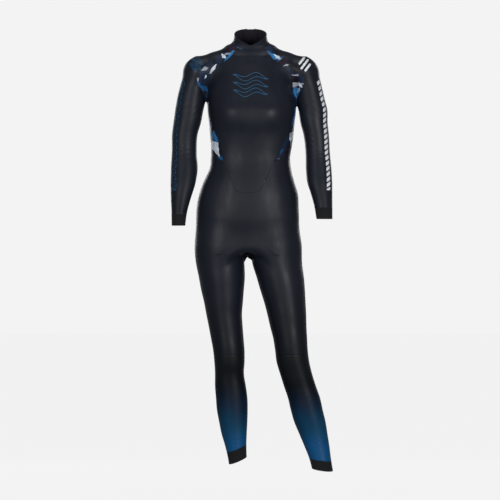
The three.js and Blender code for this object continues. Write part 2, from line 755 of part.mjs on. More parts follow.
for (const [name, s] of SIDES) {
  const { armpit, raglanFront, raglanBack } = seams[name];
  const centre = new THREE.CatmullRomCurve3([
    new THREE.Vector3(78 * s, 12, -52),
    new THREE.Vector3(105 * s, 12, -62),
    new THREE.Vector3(140 * s, 11, -78),
    new THREE.Vector3(168 * s, 10, -104),
    new THREE.Vector3(184 * s, 10, -146),
    new THREE.Vector3(...[...armCentre(s, armpit[2]).slice(0, 2), armpit[2]]),
  ]);
  const shoulderFrame = (i) => {
    const t = i / N_RAGLAN;
    const lean = (1 - t) ** 1.2 * 1.3;
    const o = centre.getPoint(t).toArray();
    return { o, e1: [s * Math.cos(lean), 0, Math.sin(lean)], e2: FRONT };
  };
  const shoulderRows = fanPatch({
    starts: raglanFront,
    ends: raglanBack,
    frame: shoulderFrame,
    steps: even(N_ARM),
    first: baseRun(BASE_PRINT * s, BASE_RAGLAN * s, N_ARM),
    fade: 3,
  });
  const armRow = (z) => {
    const [cx, cy] = armCentre(s, z);
    const o = [cx, cy, z];
    const under = cast(o, [-s, 0.04, 0]);
    return fanRow(under, under, o, outwardX(s), FRONT, even(N_ARM));
  };
  const seamZ = WRIST_SEAM_Z[name];
  const armRows = even(N_SLEEVE).slice(1).map((t) => armRow(mix(armpit[2], seamZ, t)));
  part(`sleeve_${name}`, sheet([[...shoulderRows, ...armRows]], SLEEVE_THICK), 'smooth');
  const hemZ = seamZ - WRIST_CUFF_HEIGHT;
  const cuffRows = [armRows[N_SLEEVE - 1], armRow((seamZ + hemZ) / 2), armRow(hemZ)];
  part(`wrist_cuff_${name}`, sheet([cuffRows], CUFF_THICK), 'knit');
}

// ---- Collar, lining and flap ---------------------------------------------------------

// The collar takes up the same base angles as the panels below it.
const COLLAR_END = 180 - THREE.MathUtils.radToDeg(Math.asin(14 / 66));
const collarTurns = [
  ...pace(-COLLAR_END, -BASE_RAGLAN, 4).slice(0, -1),
  ...pace(-BASE_RAGLAN, -BASE_PRINT, 5).slice(0, -1),
  ...pace(-BASE_PRINT, -BASE_CHEST, 2).slice(0, -1),
  ...pace(-BASE_CHEST, BASE_CHEST, 8).slice(0, -1),
  ...pace(BASE_CHEST, BASE_PRINT, 2).slice(0, -1),
  ...pace(BASE_PRINT, BASE_RAGLAN, 5).slice(0, -1),
  ...pace(BASE_RAGLAN, COLLAR_END, 4),
];
const collarBand = (turns, low, high, n) => even(n).map((t) => turns.map((degrees) => {
  const z = mix(baseHeight(degrees) + low, rimHeight(degrees) - high, t);
  return onNeck(degrees, z);
}));
part('collar', sheet([collarBand(collarTurns, 0.6, 0, 3)], COLLAR_THICK), 'smooth');
part('collar_lining', sheet([collarBand(collarTurns, 2.5, 1.2, 3)], LINING_THICK, {
  lift: -COLLAR_THICK - LAYER_GAP,
}), 'lining');

const FLAP_ROOT = 180 - THREE.MathUtils.radToDeg(Math.asin(20 / 66));
const FLAP_TIP = 180 + 44;
const STACK = LAYER_GAP + PATCH_THICK + LAYER_GAP + PATCH_THICK + LAYER_GAP;
const flapTurns = pace(FLAP_ROOT, FLAP_TIP, 9);
// The flap lies on the collar at its root and rises over the two patches at its tip.
const flapRise = (p) => Math.min(Math.max((14 - p[0]) / 26, 0), 1);
part('collar_flap', sheet([collarBand(flapTurns, 6, 1.5, 3)], FLAP_THICK, {
  lift: (p) => mix(LAYER_GAP, STACK, flapRise(p)) + FLAP_THICK,
  direction: (p) => unit([p[0], p[1] - 8, 0]),
}), 'smooth');
const patchTurns = pace(180 + 18, 180 + 40, 3);
part('flap_hook_patch', sheet([collarBand(patchTurns, 10, 8, 2)], PATCH_THICK, {
  lift: STACK - LAYER_GAP,
  direction: (p) => unit([p[0], p[1] - 8, 0]),
}), 'knit');
part('collar_loop_patch', sheet([collarBand(pace(180 + 18, 180 + 48, 4), 8, 6, 2)], PATCH_THICK, {
  lift: LAYER_GAP + PATCH_THICK,
  direction: (p) => unit([p[0], p[1] - 8, 0]),
}), 'knit');

// ---- Back zip ------------------------------------------------------------------------

// Centre-back line of the suit, which is straight along the zip.
const ZIP_SLOPE = (90.6 - 82.1) / (397 - 35);
const zipLine = (z) => 90.6 + ZIP_SLOPE * (z + 35);
const FLAT_BACK = () => [0, 1, 0];
const zipRows = pace(ZIP_TOP_Z + 8, ZIP_BOTTOM_Z - 6, 8);

function backStrip(columns, heights) {
  return heights.map((z) => columns.map((x) => zipSurface(x, z)));
}

const coilMiddle = (ZIP_TOP_Z + ZIP_BOTTOM_Z) / 2;
const COIL_LIFT = COIL_THICK / 2 - BODY_THICK - LAYER_GAP + 0.35;

for (const [name, s] of SIDES) {
  const tape = backStrip([COIL_INNER * s, 9 * s, TAPE_HALF * s], zipRows);
  part(`zip_tape_${name}`, sheet([tape], TAPE_THICK, {
    lift: -BODY_THICK - LAYER_GAP,
    direction: FLAT_BACK,
    gap: 0,
  }), 'knit');
  const coil = new THREE.BoxGeometry(COIL_OUTER - COIL_INNER, COIL_THICK, ZIP_TOP_Z - ZIP_BOTTOM_Z);
  coil.rotateX(-Math.atan(ZIP_SLOPE));
  coil.translate(((COIL_OUTER + COIL_INNER) / 2) * s, zipLine(coilMiddle) + COIL_LIFT, coilMiddle);
  part(`zip_coil_${name}`, coil, 'zip');
}

// The underlay runs on up behind the collar, where it is narrower and lies closer.
const UNDERLAY_TOP_Z = 50;
const underlayColumns = [-UNDERLAY_HALF, -25, -18, 0, 18, 25, UNDERLAY_HALF];
const underlayHeights = [
  ...pace(UNDERLAY_TOP_Z, ZIP_TOP_Z + 10, 6),
  ...pace(ZIP_TOP_Z + 10, ZIP_BOTTOM_Z - 12, 9).slice(1),
];
const neckShare = (z) => Math.min(Math.max((z + 34) / 20, 0), 1);
const underlayFacing = (p) => unit(mixPoint([0, 1, 0], outward(p), neckShare(p[2])));
const underlayDepth = (x, z) => {
  const overZip = Math.abs(x) > 20 ? BODY_THICK + 0.9 : BODY_THICK + 4.6;
  return mix(overZip, 6, neckShare(z));
};
const underlay = underlayHeights.map((z) => underlayColumns.map((column) => {
  const p = zipSurface(column * mix(1, 0.8, neckShare(z)), z);
  return add(p, underlayFacing(p), -underlayDepth(column, z));
}));
part('zip_underlay', sheet([underlay], UNDERLAY_THICK, { direction: underlayFacing, gap: 0 }), 'knit');

// Moves a piece drawn about the slider's middle to its place on the straight zip line.
// Drawn with x across, y out of the back and z up.
function onZip(geometry, z) {
  geometry.rotateX(-Math.atan(ZIP_SLOPE));
  geometry.translate(0, zipLine(z), z);
  return geometry;
}

function outline(corners) {
  return new THREE.Shape(corners.map(([x, y]) => new THREE.Vector2(x, y)));
}

function prism(shape, length) {
  const geometry = new THREE.ExtrudeGeometry(shape, { depth: length, bevelEnabled: false });
  geometry.translate(0, 0, -length / 2);
  return geometry;
}

// The slider holds both halves of the zip between two plates joined by a thin post.
const COIL_FACE = COIL_LIFT + COIL_THICK / 2;
const PLATE_LOW = COIL_FACE + 0.4;
const PLATE_TOP = PLATE_LOW + 1.6;
const TAPE_BACK = -BODY_THICK - LAYER_GAP - TAPE_THICK;
const FOOT_TOP = TAPE_BACK - 0.4;
const FOOT_LOW = FOOT_TOP - 1.2;
const POST_HALF = 0.2;
const PLATE_HALF = 6.4;
const LIP_INNER = COIL_OUTER + 0.6;
const LIP_LOW = -BODY_THICK - LAYER_GAP + 0.7;
const sliderHalf = [
  [POST_HALF, PLATE_LOW],
  [LIP_INNER, PLATE_LOW],
  [LIP_INNER, LIP_LOW],
  [PLATE_HALF, LIP_LOW],
  [PLATE_HALF, PLATE_TOP],
];
const sliderSection = [
  [POST_HALF, FOOT_TOP],
  ...sliderHalf,
  ...sliderHalf.map(([x, y]) => [-x, y]).reverse(),
  [-POST_HALF, FOOT_TOP],
  [-PLATE_HALF, FOOT_TOP],
  [-PLATE_HALF, FOOT_LOW],
  [PLATE_HALF, FOOT_LOW],
  [PLATE_HALF, FOOT_TOP],
];
part('zip_slider_body', onZip(prism(outline(sliderSection), SLIDER_LENGTH), SLIDER_Z), 'metal');

// A staple on the slider that the pull tab's end bar turns in.
const BRIDGE_FOOT = PLATE_TOP + 0.35;
const BRIDGE_TOP = BRIDGE_FOOT + 3;
const BRIDGE_HALF = 5;
const bridge = prism(outline([
  [-BRIDGE_HALF, BRIDGE_FOOT],
  [-BRIDGE_HALF + 1.4, BRIDGE_FOOT],
  [-BRIDGE_HALF + 1.4, BRIDGE_TOP - 1],
  [BRIDGE_HALF - 1.4, BRIDGE_TOP - 1],
  [BRIDGE_HALF - 1.4, BRIDGE_FOOT],
  [BRIDGE_HALF, BRIDGE_FOOT],
  [BRIDGE_HALF, BRIDGE_TOP],
  [-BRIDGE_HALF, BRIDGE_TOP],
]), 2.6);
bridge.rotateY(-Math.PI / 2);
part('zip_slider_bridge', onZip(bridge, SLIDER_Z), 'metal');

// The pull tab hangs from its end bar, whose middle is the hinge.
const TAB_THICK = 1.2;
const TAB_AXIS = BRIDGE_FOOT + 1;
const tabShape = outline([
  [-4.4, 0.6],
  [-4.4, -TAB_LENGTH + 3],
  [-2.6, -TAB_LENGTH],
  [2.6, -TAB_LENGTH],
  [4.4, -TAB_LENGTH + 3],
  [4.4, 0.6],
]);
tabShape.holes.push(outline([[-2.2, -0.6], [2.2, -0.6], [2.2, -10], [-2.2, -10]]));
const tab = prism(tabShape, TAB_THICK);
tab.rotateX(Math.PI / 2);
tab.translate(0, TAB_AXIS, 0);
part('zip_pull_tab', onZip(tab, SLIDER_Z), 'metal');

// Stops at the two ends of the chain.
const stopLift = COIL_LIFT - 0.1;
const bottomStop = new THREE.BoxGeometry(2 * COIL_OUTER, COIL_THICK - 0.2, 3);
bottomStop.translate(0, stopLift, 0);
part('zip_bottom_stop', onZip(bottomStop, ZIP_BOTTOM_Z - 2), 'metal');
for (const [name, s] of SIDES) {
  const stop = new THREE.BoxGeometry(COIL_OUTER - COIL_INNER, COIL_THICK - 0.2, 3);
  stop.translate(((COIL_OUTER + COIL_INNER) / 2) * s, stopLift, 0);
  part(`zip_top_stop_${name}`, onZip(stop, ZIP_TOP_Z + 2), 'metal');
}

export default group;
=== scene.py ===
"""Looks of a full-length wetsuit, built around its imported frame.

Shapes are worked out in millimetres, in the frame's axes: the chest faces -Y, +X is the
wearer's left and +Z is up. They are turned into metres when a mesh is made.
"""

import logging
import math
from collections.abc import Callable, Sequence
from dataclasses import dataclass
from enum import Enum

import bpy
import numpy as np
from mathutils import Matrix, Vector


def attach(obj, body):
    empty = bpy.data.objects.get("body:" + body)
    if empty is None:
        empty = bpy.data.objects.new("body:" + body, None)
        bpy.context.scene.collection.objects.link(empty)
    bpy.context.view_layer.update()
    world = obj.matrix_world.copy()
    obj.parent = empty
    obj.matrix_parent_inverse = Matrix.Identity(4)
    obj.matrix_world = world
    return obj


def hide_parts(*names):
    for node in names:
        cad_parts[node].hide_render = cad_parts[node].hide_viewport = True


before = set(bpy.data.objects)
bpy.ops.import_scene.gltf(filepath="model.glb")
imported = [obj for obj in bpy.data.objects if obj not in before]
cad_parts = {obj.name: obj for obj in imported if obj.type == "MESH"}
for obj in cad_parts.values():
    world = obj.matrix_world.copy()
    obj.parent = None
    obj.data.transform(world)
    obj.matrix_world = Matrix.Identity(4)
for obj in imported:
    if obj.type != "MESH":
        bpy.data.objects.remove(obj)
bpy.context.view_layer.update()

MM = 0.001
LOG = logging.getLogger("wetsuit")
Socket = bpy.types.NodeSocket
Array = np.ndarray


class Side(Enum):
    """The wearer's right and left, with the sign of X on that side."""

    RIGHT = -1
    LEFT = 1

    @property
    def word(self) -> str:
        """Name of the side as the frame spells it."""
        return self.name.lower()


# ---- Small vector helpers ---------------------------------------------------------------


def unit(v: Array) -> Array:
    """Rows of v scaled to length one."""
    return v / np.maximum(np.linalg.norm(v, axis=-1, keepdims=True), 1e-12)


def dot(a: Array, b: Array) -> Array:
    """Dot product of matching rows."""
    return np.sum(a * b, axis=-1)


def mix(a: Array, b: Array, t: Array) -> Array:
    """Straight mix of a and b, a at 0 and b at 1."""
    return a + (b - a) * t


def point(*values: float) -> Array:
    """One point or direction as a float array."""
    return np.array(values, float)


def refine(shares: Sequence[float], per: int) -> Array:
    """Shares with each interval cut into equal parts.

    Args:
        shares: rising shares from 0 to 1.
        per: how many parts each interval gets.

    Returns:
        The finer list, which still holds every given share.
    """
    n = len(shares) - 1
    return np.interp(np.linspace(0, n, n * per + 1), np.arange(n + 1), shares)


def even(n: int) -> Array:
    """n + 1 even shares from 0 to 1."""
    return np.linspace(0, 1, n + 1)


def join(*runs: Array) -> Array:
    """Runs of points laid end to end, each starting where the last one stopped."""
    return np.concatenate([runs[0], *[run[1:] for run in runs[1:]]])


# ---- The worn shape ---------------------------------------------------------------------


class Run:
    """Smooth run of values through level sections, as a cubic with matched slopes."""

    def __init__(self, rows: Sequence[Sequence[float]]) -> None:
        """Args:
        rows: height first, then the values held at that height.
        """
        table = np.array(sorted(rows, key=lambda row: row[0]), float)
        self.z = table[:, 0]
        self.values = table[:, 1:]
        self.bottom = float(self.z[0])
        self.top = float(self.z[-1])
        steps = np.diff(self.z)[:, None]
        slopes = np.diff(self.values, axis=0) / steps
        inner = (slopes[:-1] * steps[1:] + slopes[1:] * steps[:-1]) / (steps[:-1] + steps[1:])
        self.slopes = np.concatenate([slopes[:1], inner, slopes[-1:]])

    def at(self, z: Array) -> Array:
        """Values at the heights z, one row for each height."""
        zc = np.clip(z, self.bottom, self.top)
        i = np.clip(np.searchsorted(self.z, zc, side="right") - 1, 0, len(self.z) - 2)
        h = self.z[i + 1] - self.z[i]
        t = ((zc - self.z[i]) / h)[:, None]
        h = h[:, None]
        start = (2 * t - 3) * t * t + 1
        leave = ((t - 2) * t + 1) * t * h
        end = (3 - 2 * t) * t * t
        arrive = (t - 1) * t * t * h
        return (
            start * self.values[i]
            + leave * self.slopes[i]
            + end * self.values[i + 1]
            + arrive * self.slopes[i + 1]
        )


TORSO = Run([
    (-35, 0, 0, 62, 50, 90.6), (-60, 0, 0, 95, 62, 90.0), (-100, 0, 0, 118, 80, 89.1),
    (-150, 2, 0, 134, 100, 87.9), (-207, 4, 0, 139, 118, 86.6), (-245, 4, 0, 136, 116, 85.7),
    (-283, 4, 0, 133, 104, 84.8), (-321, 3, 0, 129, 96, 83.9), (-359, 0, 0, 126, 92, 83.0),
    (-397, -1, 0, 131, 95, 82.1), (-412, -3, 0, 136, 97, 82.2), (-436, -5, 0, 145, 100, 87),
    (-474, -6, 0, 157, 103, 101), (-512, -9, 0, 162, 104, 113), (-550, -10, 0, 163, 102, 119),
    (-607, -10, 0, 160, 92, 112), (-630, -8, 0, 159, 90, 110),
])
ARMS = {
    Side.RIGHT: Run([
        (-95, -172, 8, 41, 48, 48), (-130, -181, 9, 43, 50, 50), (-170, -189, 10, 45, 48, 48),
        (-207, -195, 11, 45, 46, 46), (-245, -201, 12, 44, 45, 44), (-283, -209, 12, 41, 42, 42),
        (-340, -211, 10, 40, 40, 42), (-397, -211, 0, 43, 40, 42), (-436, -214, -10, 40, 38, 38),
        (-493, -222, -25, 31, 32, 32), (-531, -226, -35, 25, 29, 29), (-580, -229, -46, 21, 27, 27),
    ]),
    Side.LEFT: Run([
        (-95, 177, 8, 41, 48, 48), (-130, 184, 9, 43, 50, 50), (-170, 191, 10, 45, 48, 48),
        (-207, 199, 11, 46, 46, 46), (-245, 202, 12, 44, 45, 44), (-283, 209, 12, 41, 42, 42),
        (-340, 214, 10, 39, 40, 42), (-397, 217, 0, 41, 40, 42), (-436, 220, -10, 40, 38, 38),
        (-474, 226, -20, 34, 34, 34), (-512, 231, -30, 29, 30, 30), (-558, 235, -41, 25, 27, 27),
    ]),
}
LEGS = {
    Side.RIGHT: Run([
        (-560, -84, 0, 60, 66, 84), (-620, -96, 0, 72, 82, 104), (-684, -96, 4, 76, 86, 96),
        (-741, -91, 4, 73, 84, 86), (-779, -89, 4, 68, 80, 80), (-817, -86, 3, 62, 75, 74),
        (-855, -84, 2, 57, 69, 68), (-894, -79, 0, 54, 64, 62), (-932, -74, -2, 52, 60, 57),
        (-970, -69, -3, 50, 57, 54), (-1008, -67, -2, 48, 53, 55), (-1046, -67, 2, 46, 47, 58),
        (-1084, -64, 6, 49, 46, 60), (-1122, -60, 10, 50, 46, 59), (-1161, -58, 13, 49, 45, 55),
        (-1199, -55, 15, 45, 42, 49), (-1237, -52, 17, 40, 39, 43), (-1275, -47, 18, 34, 36, 38),
        (-1313, -42, 18, 30, 34, 37), (-1350, -38, 16, 28, 34, 38),
    ]),
    Side.LEFT: Run([
        (-560, 74, 0, 60, 66, 84), (-620, 82, 0, 72, 82, 104), (-684, 83, 2, 79, 86, 96),
        (-741, 95, 0, 75, 84, 86), (-779, 102, -2, 71, 80, 80), (-817, 109, -4, 66, 75, 74),
        (-855, 115, -7, 62, 70, 68), (-894, 120, -9, 58, 65, 62), (-932, 126, -11, 54, 61, 57),
        (-970, 130, -12, 52, 57, 54), (-1008, 135, -11, 52, 53, 55), (-1046, 145, -8, 51, 49, 58),
        (-1084, 157, -3, 51, 47, 60), (-1122, 170, 2, 51, 47, 59), (-1161, 179, 6, 51, 46, 55),
        (-1199, 189, 9, 50, 43, 49), (-1237, 200, 12, 45, 39, 43), (-1275, 211, 14, 40, 36, 38),
        (-1313, 221, 15, 35, 34, 37), (-1370, 233, 15, 32, 34, 38),
    ]),
}
NECK = Run([(60, 0, 3, 52, 52, 56), (30, 0, 6, 52, 53, 57), (0, 0, 8, 57, 55, 60), (-40, 0, 8, 62, 60, 62)])


class WornShape:
    """The filled-out suit as one smooth value, below zero inside and zero on its outer face."""

    def limb(
        self, run: Run, power: float, cap_top: float, cap_bottom: float, p: Array, soft: float = 0
    ) -> Array:
        """Value of one limb: distance from its axis, less the radius of a squared-off ellipse.

        Args:
            run: centre, half width and depths of the limb by height.
            power: 2 for an ellipse, more for a squarer section.
            cap_top: how fast the limb ends above its top section.
            cap_bottom: how fast it ends below its bottom section.
            p: points, one to a row.
            soft: how much slower the bottom end closes at the skin than at the core.

        Returns:
            One value for each point.
        """
        cx, cy, half, front, back = run.at(p[:, 2]).T
        qx = p[:, 0] - cx
        qy = p[:, 1] - cy
        z = p[:, 2]
        q = np.hypot(qx, qy) + 1e-9
        depth = np.where(qy < 0, front, back)
        ux = np.abs(qx) / q / half
        uy = np.abs(qy) / q / depth
        radius = (ux**power + uy**power) ** (-1 / power)
        core = 1 - soft * np.minimum(q / radius, 1) ** 2
        over = np.maximum(z - run.top, 0) * cap_top + np.maximum(run.bottom - z, 0) * cap_bottom * core
        return np.hypot(q, over) - radius

    def bar(self, a: Array, b: Array, ra: float, rb: float, squash: float, p: Array) -> Array:
        """Value of a rounded bar from a to b, whose radius runs from ra to rb, squashed along Y."""
        squeeze = point(1, squash, 1)
        ab = (b - a) * squeeze
        q = (p - a) * squeeze
        t = np.clip(q @ ab / (ab @ ab), 0, 1)
        return np.linalg.norm(q - t[:, None] * ab, axis=1) - (ra + (rb - ra) * t)

    def blend(self, a: Array, b: Array, width: Array | float) -> Array:
        """Union of two values with a rounded inside corner about that wide."""
        h = np.maximum(width - np.abs(a - b), 0) / width
        return np.minimum(a, b) - h * h * width * 0.25

    def value(self, p: Array) -> Array:
        """Value of the whole body at points, one to a row."""
        x, y, z = p.T
        dome = np.exp(-(((z + 215) / 42) ** 2))
        bust = 7 * dome * (np.exp(-(((x + 72) / 45) ** 2)) + np.exp(-(((x - 78) / 45) ** 2)))
        f = self.limb(TORSO, 2.35, 1.6, 3.4, p, soft=0.7) - np.where(y < 0, bust, 0)
        rise = np.clip((z + 195) / 85, 0, 1)
        for side in Side:
            s = side.value
            knuckle = point(110 * s, 12, -63)
            inner = self.bar(point(40 * s, 14, -36), knuckle, 40, 40, 0.78, p)
            outer = self.bar(knuckle, point(162 * s, 9, -78), 40, 39, 0.78, p)
            arm = self.limb(ARMS[side], 2.1, 1, 6, p)
            armpit = 20 if side is Side.RIGHT else 16
            shoulder = self.blend(self.blend(inner, outer, 8), arm, 34)
            f = self.blend(f, shoulder, armpit + (36 - armpit) * rise * rise)
        neck = self.limb(NECK, 2, 1, 1, p)
        shelf = self.bar(point(-66, 14, -14), point(66, 14, -14), 13, 13, 0.26, p)
        f = self.blend(f, self.blend(neck, shelf, 12), 16)
        legs = self.blend(
            self.limb(LEGS[Side.LEFT], 2.1, 1, 6, p), self.limb(LEGS[Side.RIGHT], 2.1, 1, 6, p), 10
        )
        return self.blend(f, legs, 34)

    def outward(self, p: Array) -> Array:
        """Directions straight out of the skin at points, from differences of the value."""
        e = 0.6
        g = np.stack([self.value(p + e * axis) - self.value(p - e * axis) for axis in np.eye(3)], axis=1)
        return unit(g)

    def cast(self, origins: Array, directions: Array) -> Array:
        """First skin points met when leaving inside points along directions.

        Args:
            origins: points inside the body, in any leading shape.
            directions: directions of the same shape, of any length.

        Returns:
            Points of the skin in that shape.
        """
        o, d = np.broadcast_arrays(np.asarray(origins, float), np.asarray(directions, float))
        shape = o.shape
        o = o.reshape(-1, 3)
        d = unit(d.reshape(-1, 3))
        reach = np.zeros(len(o))
        live = np.arange(len(o))
        for _ in range(140):
            f = self.value(o[live] + d[live] * reach[live, None])
            reach[live] += np.clip(-f, -4, 30) * 0.7
            live = live[np.abs(f) > 1e-3]
            if not live.size:
                break
        return (o + d * reach[:, None]).reshape(shape)

    def settle(self, p: Array) -> Array:
        """Points slid onto the skin along the outward direction."""
        shape = p.shape
        q = np.asarray(p, float).reshape(-1, 3)
        for _ in range(7):
            q = q - 0.8 * self.outward(q) * self.value(q)[:, None]
        return q.reshape(shape)


BODY = WornShape()


def mid_x(z: Array | float) -> Array:
    """X of the torso's middle at heights."""
    return TORSO.at(np.atleast_1d(np.asarray(z, float)))[:, 0]


def on_front(x: float, z: float) -> Array:
    """Point of the front of the body at a width and height."""
    return BODY.cast(point(x, 5, z), point(0, -1, 0))


def on_back(x: Array | float, z: Array | float) -> Array:
    """Points of the back of the body at widths and heights."""
    x, z = np.broadcast_arrays(np.asarray(x, float), np.asarray(z, float))
    start = np.stack([x, np.full_like(x, 12.0), z], axis=-1)
    return BODY.cast(start, point(0, 1, 0))


def around(degrees: float, z: float, s: int) -> Array:
    """Point of the torso at an angle from the front."""
    a = math.radians(degrees)
    return BODY.cast(point(mid_x(z)[0], 0, z), point(s * math.sin(a), -math.cos(a), 0))


class Seam:
    """A smooth line on the skin through given points, read by shares of its length."""

    def __init__(self, points: Sequence[Array]) -> None:
        """Args:
        points: the points it passes through, in order.
        """
        p = np.array(points, float)
        self.ends = (p[0], p[-1])
        q = np.concatenate([[2 * p[0] - p[1]], p, [2 * p[-1] - p[-2]]])
        gap = np.sqrt(np.linalg.norm(np.diff(q, axis=0), axis=1))[:, None]
        before, here, after = gap[:-2], gap[1:-1], gap[2:]
        a, b, c, d = q[:-3], q[1:-2], q[2:-1], q[3:]
        leave = ((b - a) / before - (c - a) / (before + here) + (c - b) / here) * here
        arrive = ((c - b) / here - (d - b) / (here + after) + (d - c) / after) * here
        t = np.linspace(0, 1, 60, endpoint=False)[None, :, None]
        b, c, leave, arrive = (v[:, None, :] for v in (b, c, leave, arrive))
        curve = (
            b * ((2 * t - 3) * t * t + 1)
            + leave * ((t - 2) * t + 1) * t
            + c * (3 - 2 * t) * t * t
            + arrive * (t - 1) * t * t
        ).reshape(-1, 3)
        self.line = np.concatenate([curve, p[-1:]])
        self.along = np.concatenate([[0], np.cumsum(np.linalg.norm(np.diff(self.line, axis=0), axis=1))])

    def at(self, shares: Array) -> Array:
        """Skin points at shares of the seam's length; its two ends are kept exactly."""
        where = np.asarray(shares, float) * self.along[-1]
        line = np.stack([np.interp(where, self.along, self.line[:, k]) for k in range(3)], axis=1)
        line = BODY.settle(line)
        line[np.asarray(shares) <= 0] = self.ends[0]
        line[np.asarray(shares) >= 1] = self.ends[1]
        return line


# ---- Collar base and rim ----------------------------------------------------------------

BASE_CHEST = 38.0
BASE_PRINT = 70.0
BASE_RAGLAN = 124.0
BASE_ZIP = 180 - math.degrees(math.asin(9 / 66))
COLLAR_END = 180 - math.degrees(math.asin(14 / 66))


def base_height(degrees: Array) -> Array:
    """Height of the collar's base seam at angles from the front."""
    turn = np.minimum(np.abs(degrees) * 180 / 95, 180)
    return -20 + 16 * (1 - np.cos(np.radians(turn)))


def rim_height(degrees: Array) -> Array:
    """Height of the collar's top edge at angles from the front."""
    half = np.sin(np.radians(np.asarray(degrees) / 2))
    return -2 + 60 * (np.sqrt(half * half + 0.005) - 0.07)


def on_neck(degrees: Array, z: Array) -> Array:
    """Skin points of the neck at angles from the front and heights."""
    degrees, z = np.broadcast_arrays(np.asarray(degrees, float), np.asarray(z, float))
    a = np.radians(degrees)
    start = np.stack([np.zeros_like(z), np.full_like(z, 8.0), z], axis=-1)
    return BODY.cast(start, np.stack([np.sin(a), -np.cos(a), np.zeros_like(a)], axis=-1))


def on_base(degrees: Array) -> Array:
    """Skin points of the collar's base seam."""
    return on_neck(degrees, base_height(np.asarray(degrees, float)))


# ---- Seams ------------------------------------------------------------------------------

RAGLAN_SHARES = (0, 0.15, 0.3, 0.45, 0.6, 0.73, 0.83, 0.91, 0.96, 1)
SIDE_SHARES = (0, 0.015, 0.045, 0.13, 0.42, 0.71, 1)
PRINT_SHARES = (0, 0.05, 0.12, 0.25, 0.48, 0.74, 1)
THREE = tuple(even(3))
FOUR = tuple(even(4))
NINE = tuple(even(9))
WAIST_SIDE_Z = -312.0
CROTCH_SIDE_Z = -676.0
KNEE_SEAM_Z = -985.0
SHIELD_FOOT = on_front(-8, -471)
CROTCH = BODY.cast(point(-8, 12, -600), point(0, 0, -1))


def side_line(s: int, z: Array) -> Array:
    """Points of the suit's side line at heights: from the torso's middle above the hip, and
    from just behind the leg's middle below it."""
    leg = LEGS[Side(s)].at(z)
    torso = z > -600
    start = np.stack([np.where(torso, mid_x(z), leg[:, 0]), np.where(torso, 12.0, leg[:, 1] + 9), z], axis=1)
    return BODY.cast(start, point(s, 0, 0))


def side_at(s: int, z: float) -> Array:
    """Point of the suit's side line at one height."""
    return side_line(s, np.array([z], float))[0]


class SideSeams:
    """All the seams of one side of the suit."""

    def __init__(self, side: Side) -> None:
        """Args:
        side: which side's seams to work out.
        """
        s = side.value
        arm = ARMS[side].at(np.array([-214.0]))[0]
        torso_face = BODY.cast(point(mid_x(-214)[0], 8, -214), point(s, 0, 0))[0]
        arm_face = BODY.cast(point(arm[0], arm[1], -214), point(-s, 0, 0))[0]
        self.armpit = BODY.cast(point((torso_face + arm_face) / 2, 8, -130), point(0, 0, -1))
        self.waist = side_at(s, WAIST_SIDE_Z)
        self.tip = on_front((81 - 6 * s) * s, -373)

        def front(x: float, z: float) -> Array:
            """Point of the front, as far out on this side."""
            return on_front(x * s, z)

        def back(x: float, z: float) -> Array:
            """Point of the back, as far out on this side."""
            return on_back(x * s, z)

        self.raglan_front = Seam([
            on_base(BASE_PRINT * s), front(95, -31), front(122, -48), front(150, -73),
            front(167, -97), front(170, -117), front(166, -139), front(156, -166), self.armpit,
        ])
        self.raglan_back = Seam([
            on_base(BASE_RAGLAN * s), back(80, -24), back(112, -44), back(142, -74),
            back(160, -104), back(164, -132), back(158, -164), self.armpit,
        ])
        under_arm = BODY.settle(self.armpit + point(-3 * s, 0, -2.5))
        self.side = Seam([
            self.armpit, under_arm, side_at(s, self.armpit[2] - 12), side_at(s, -236),
            side_at(s, -270), self.waist,
        ])
        self.dagger = Seam([self.waist, around(76, -334, s), self.tip])
        self.print_top = Seam([
            on_base(BASE_CHEST * s), front(64, -39), front(84, -54), front(102, -70),
            front(125, -92), front(133, -114), front(135, -142), around(72, -188, s),
        ])
        self.print_mid = Seam([
            self.print_top.ends[1], around(70, -231, s), around(67, -262, s), around(57, -306, s),
        ])
        self.print_foot = Seam([self.print_mid.ends[1], around(53, -340, s), self.tip])
        shoulder = front(41 - 8 * s, -460)
        self.curve = Seam([self.tip, front(62 - 6 * s, -413), shoulder])
        self.foot = Seam([shoulder, front(24 - 8 * s, -469), SHIELD_FOOT])
        self.waist_back = Seam([
            self.waist, around(128, -340, s), around(155, -386, s), on_back(mid_x(-430)[0], -430),
        ])

    def shield_edge(self, per: int) -> Array:
        """Edge of the chest shield from the collar down to its lowest corner."""
        return join(self.print_edge(per), self.curve.at(refine(FOUR, per)))

    def print_edge(self, per: int) -> Array:
        """Inner edge of the printed band."""
        return join(
            self.print_top.at(refine(NINE, per)),
            self.print_mid.at(refine(PRINT_SHARES, per)),
            self.print_foot.at(refine(THREE, per)),
        )

    def print_outer(self, per: int) -> Array:
        """Outer edge of the printed band: raglan seam, side seam and its tail."""
        return join(self.back_side(self.raglan_front, per), self.dagger.at(refine(THREE, per)))

    def back_side(self, raglan: Seam, per: int) -> Array:
        """A raglan seam followed by the side seam down to the waist."""
        return join(raglan.at(refine(RAGLAN_SHARES, per)), self.side.at(refine(SIDE_SHARES, per)))

    def hip_top(self, per: int) -> Array:
        """Top edge of the hip panel, from the waist to the shield's foot."""
        return join(
            self.dagger.at(refine(THREE, per)),
            self.curve.at(refine(FOUR, per)),
            self.foot.at(refine(FOUR, per)),
        )


SEAMS = {side: SideSeams(side) for side in Side}
FRONT = point(0, -1, 0)
REAR = point(0, 1, 0)


# ---- Grids of skin points ---------------------------------------------------------------


# A ray that meets the skin farther than this from where it was aimed has slipped past it.
FARTHEST_FROM_AIM = 70.0


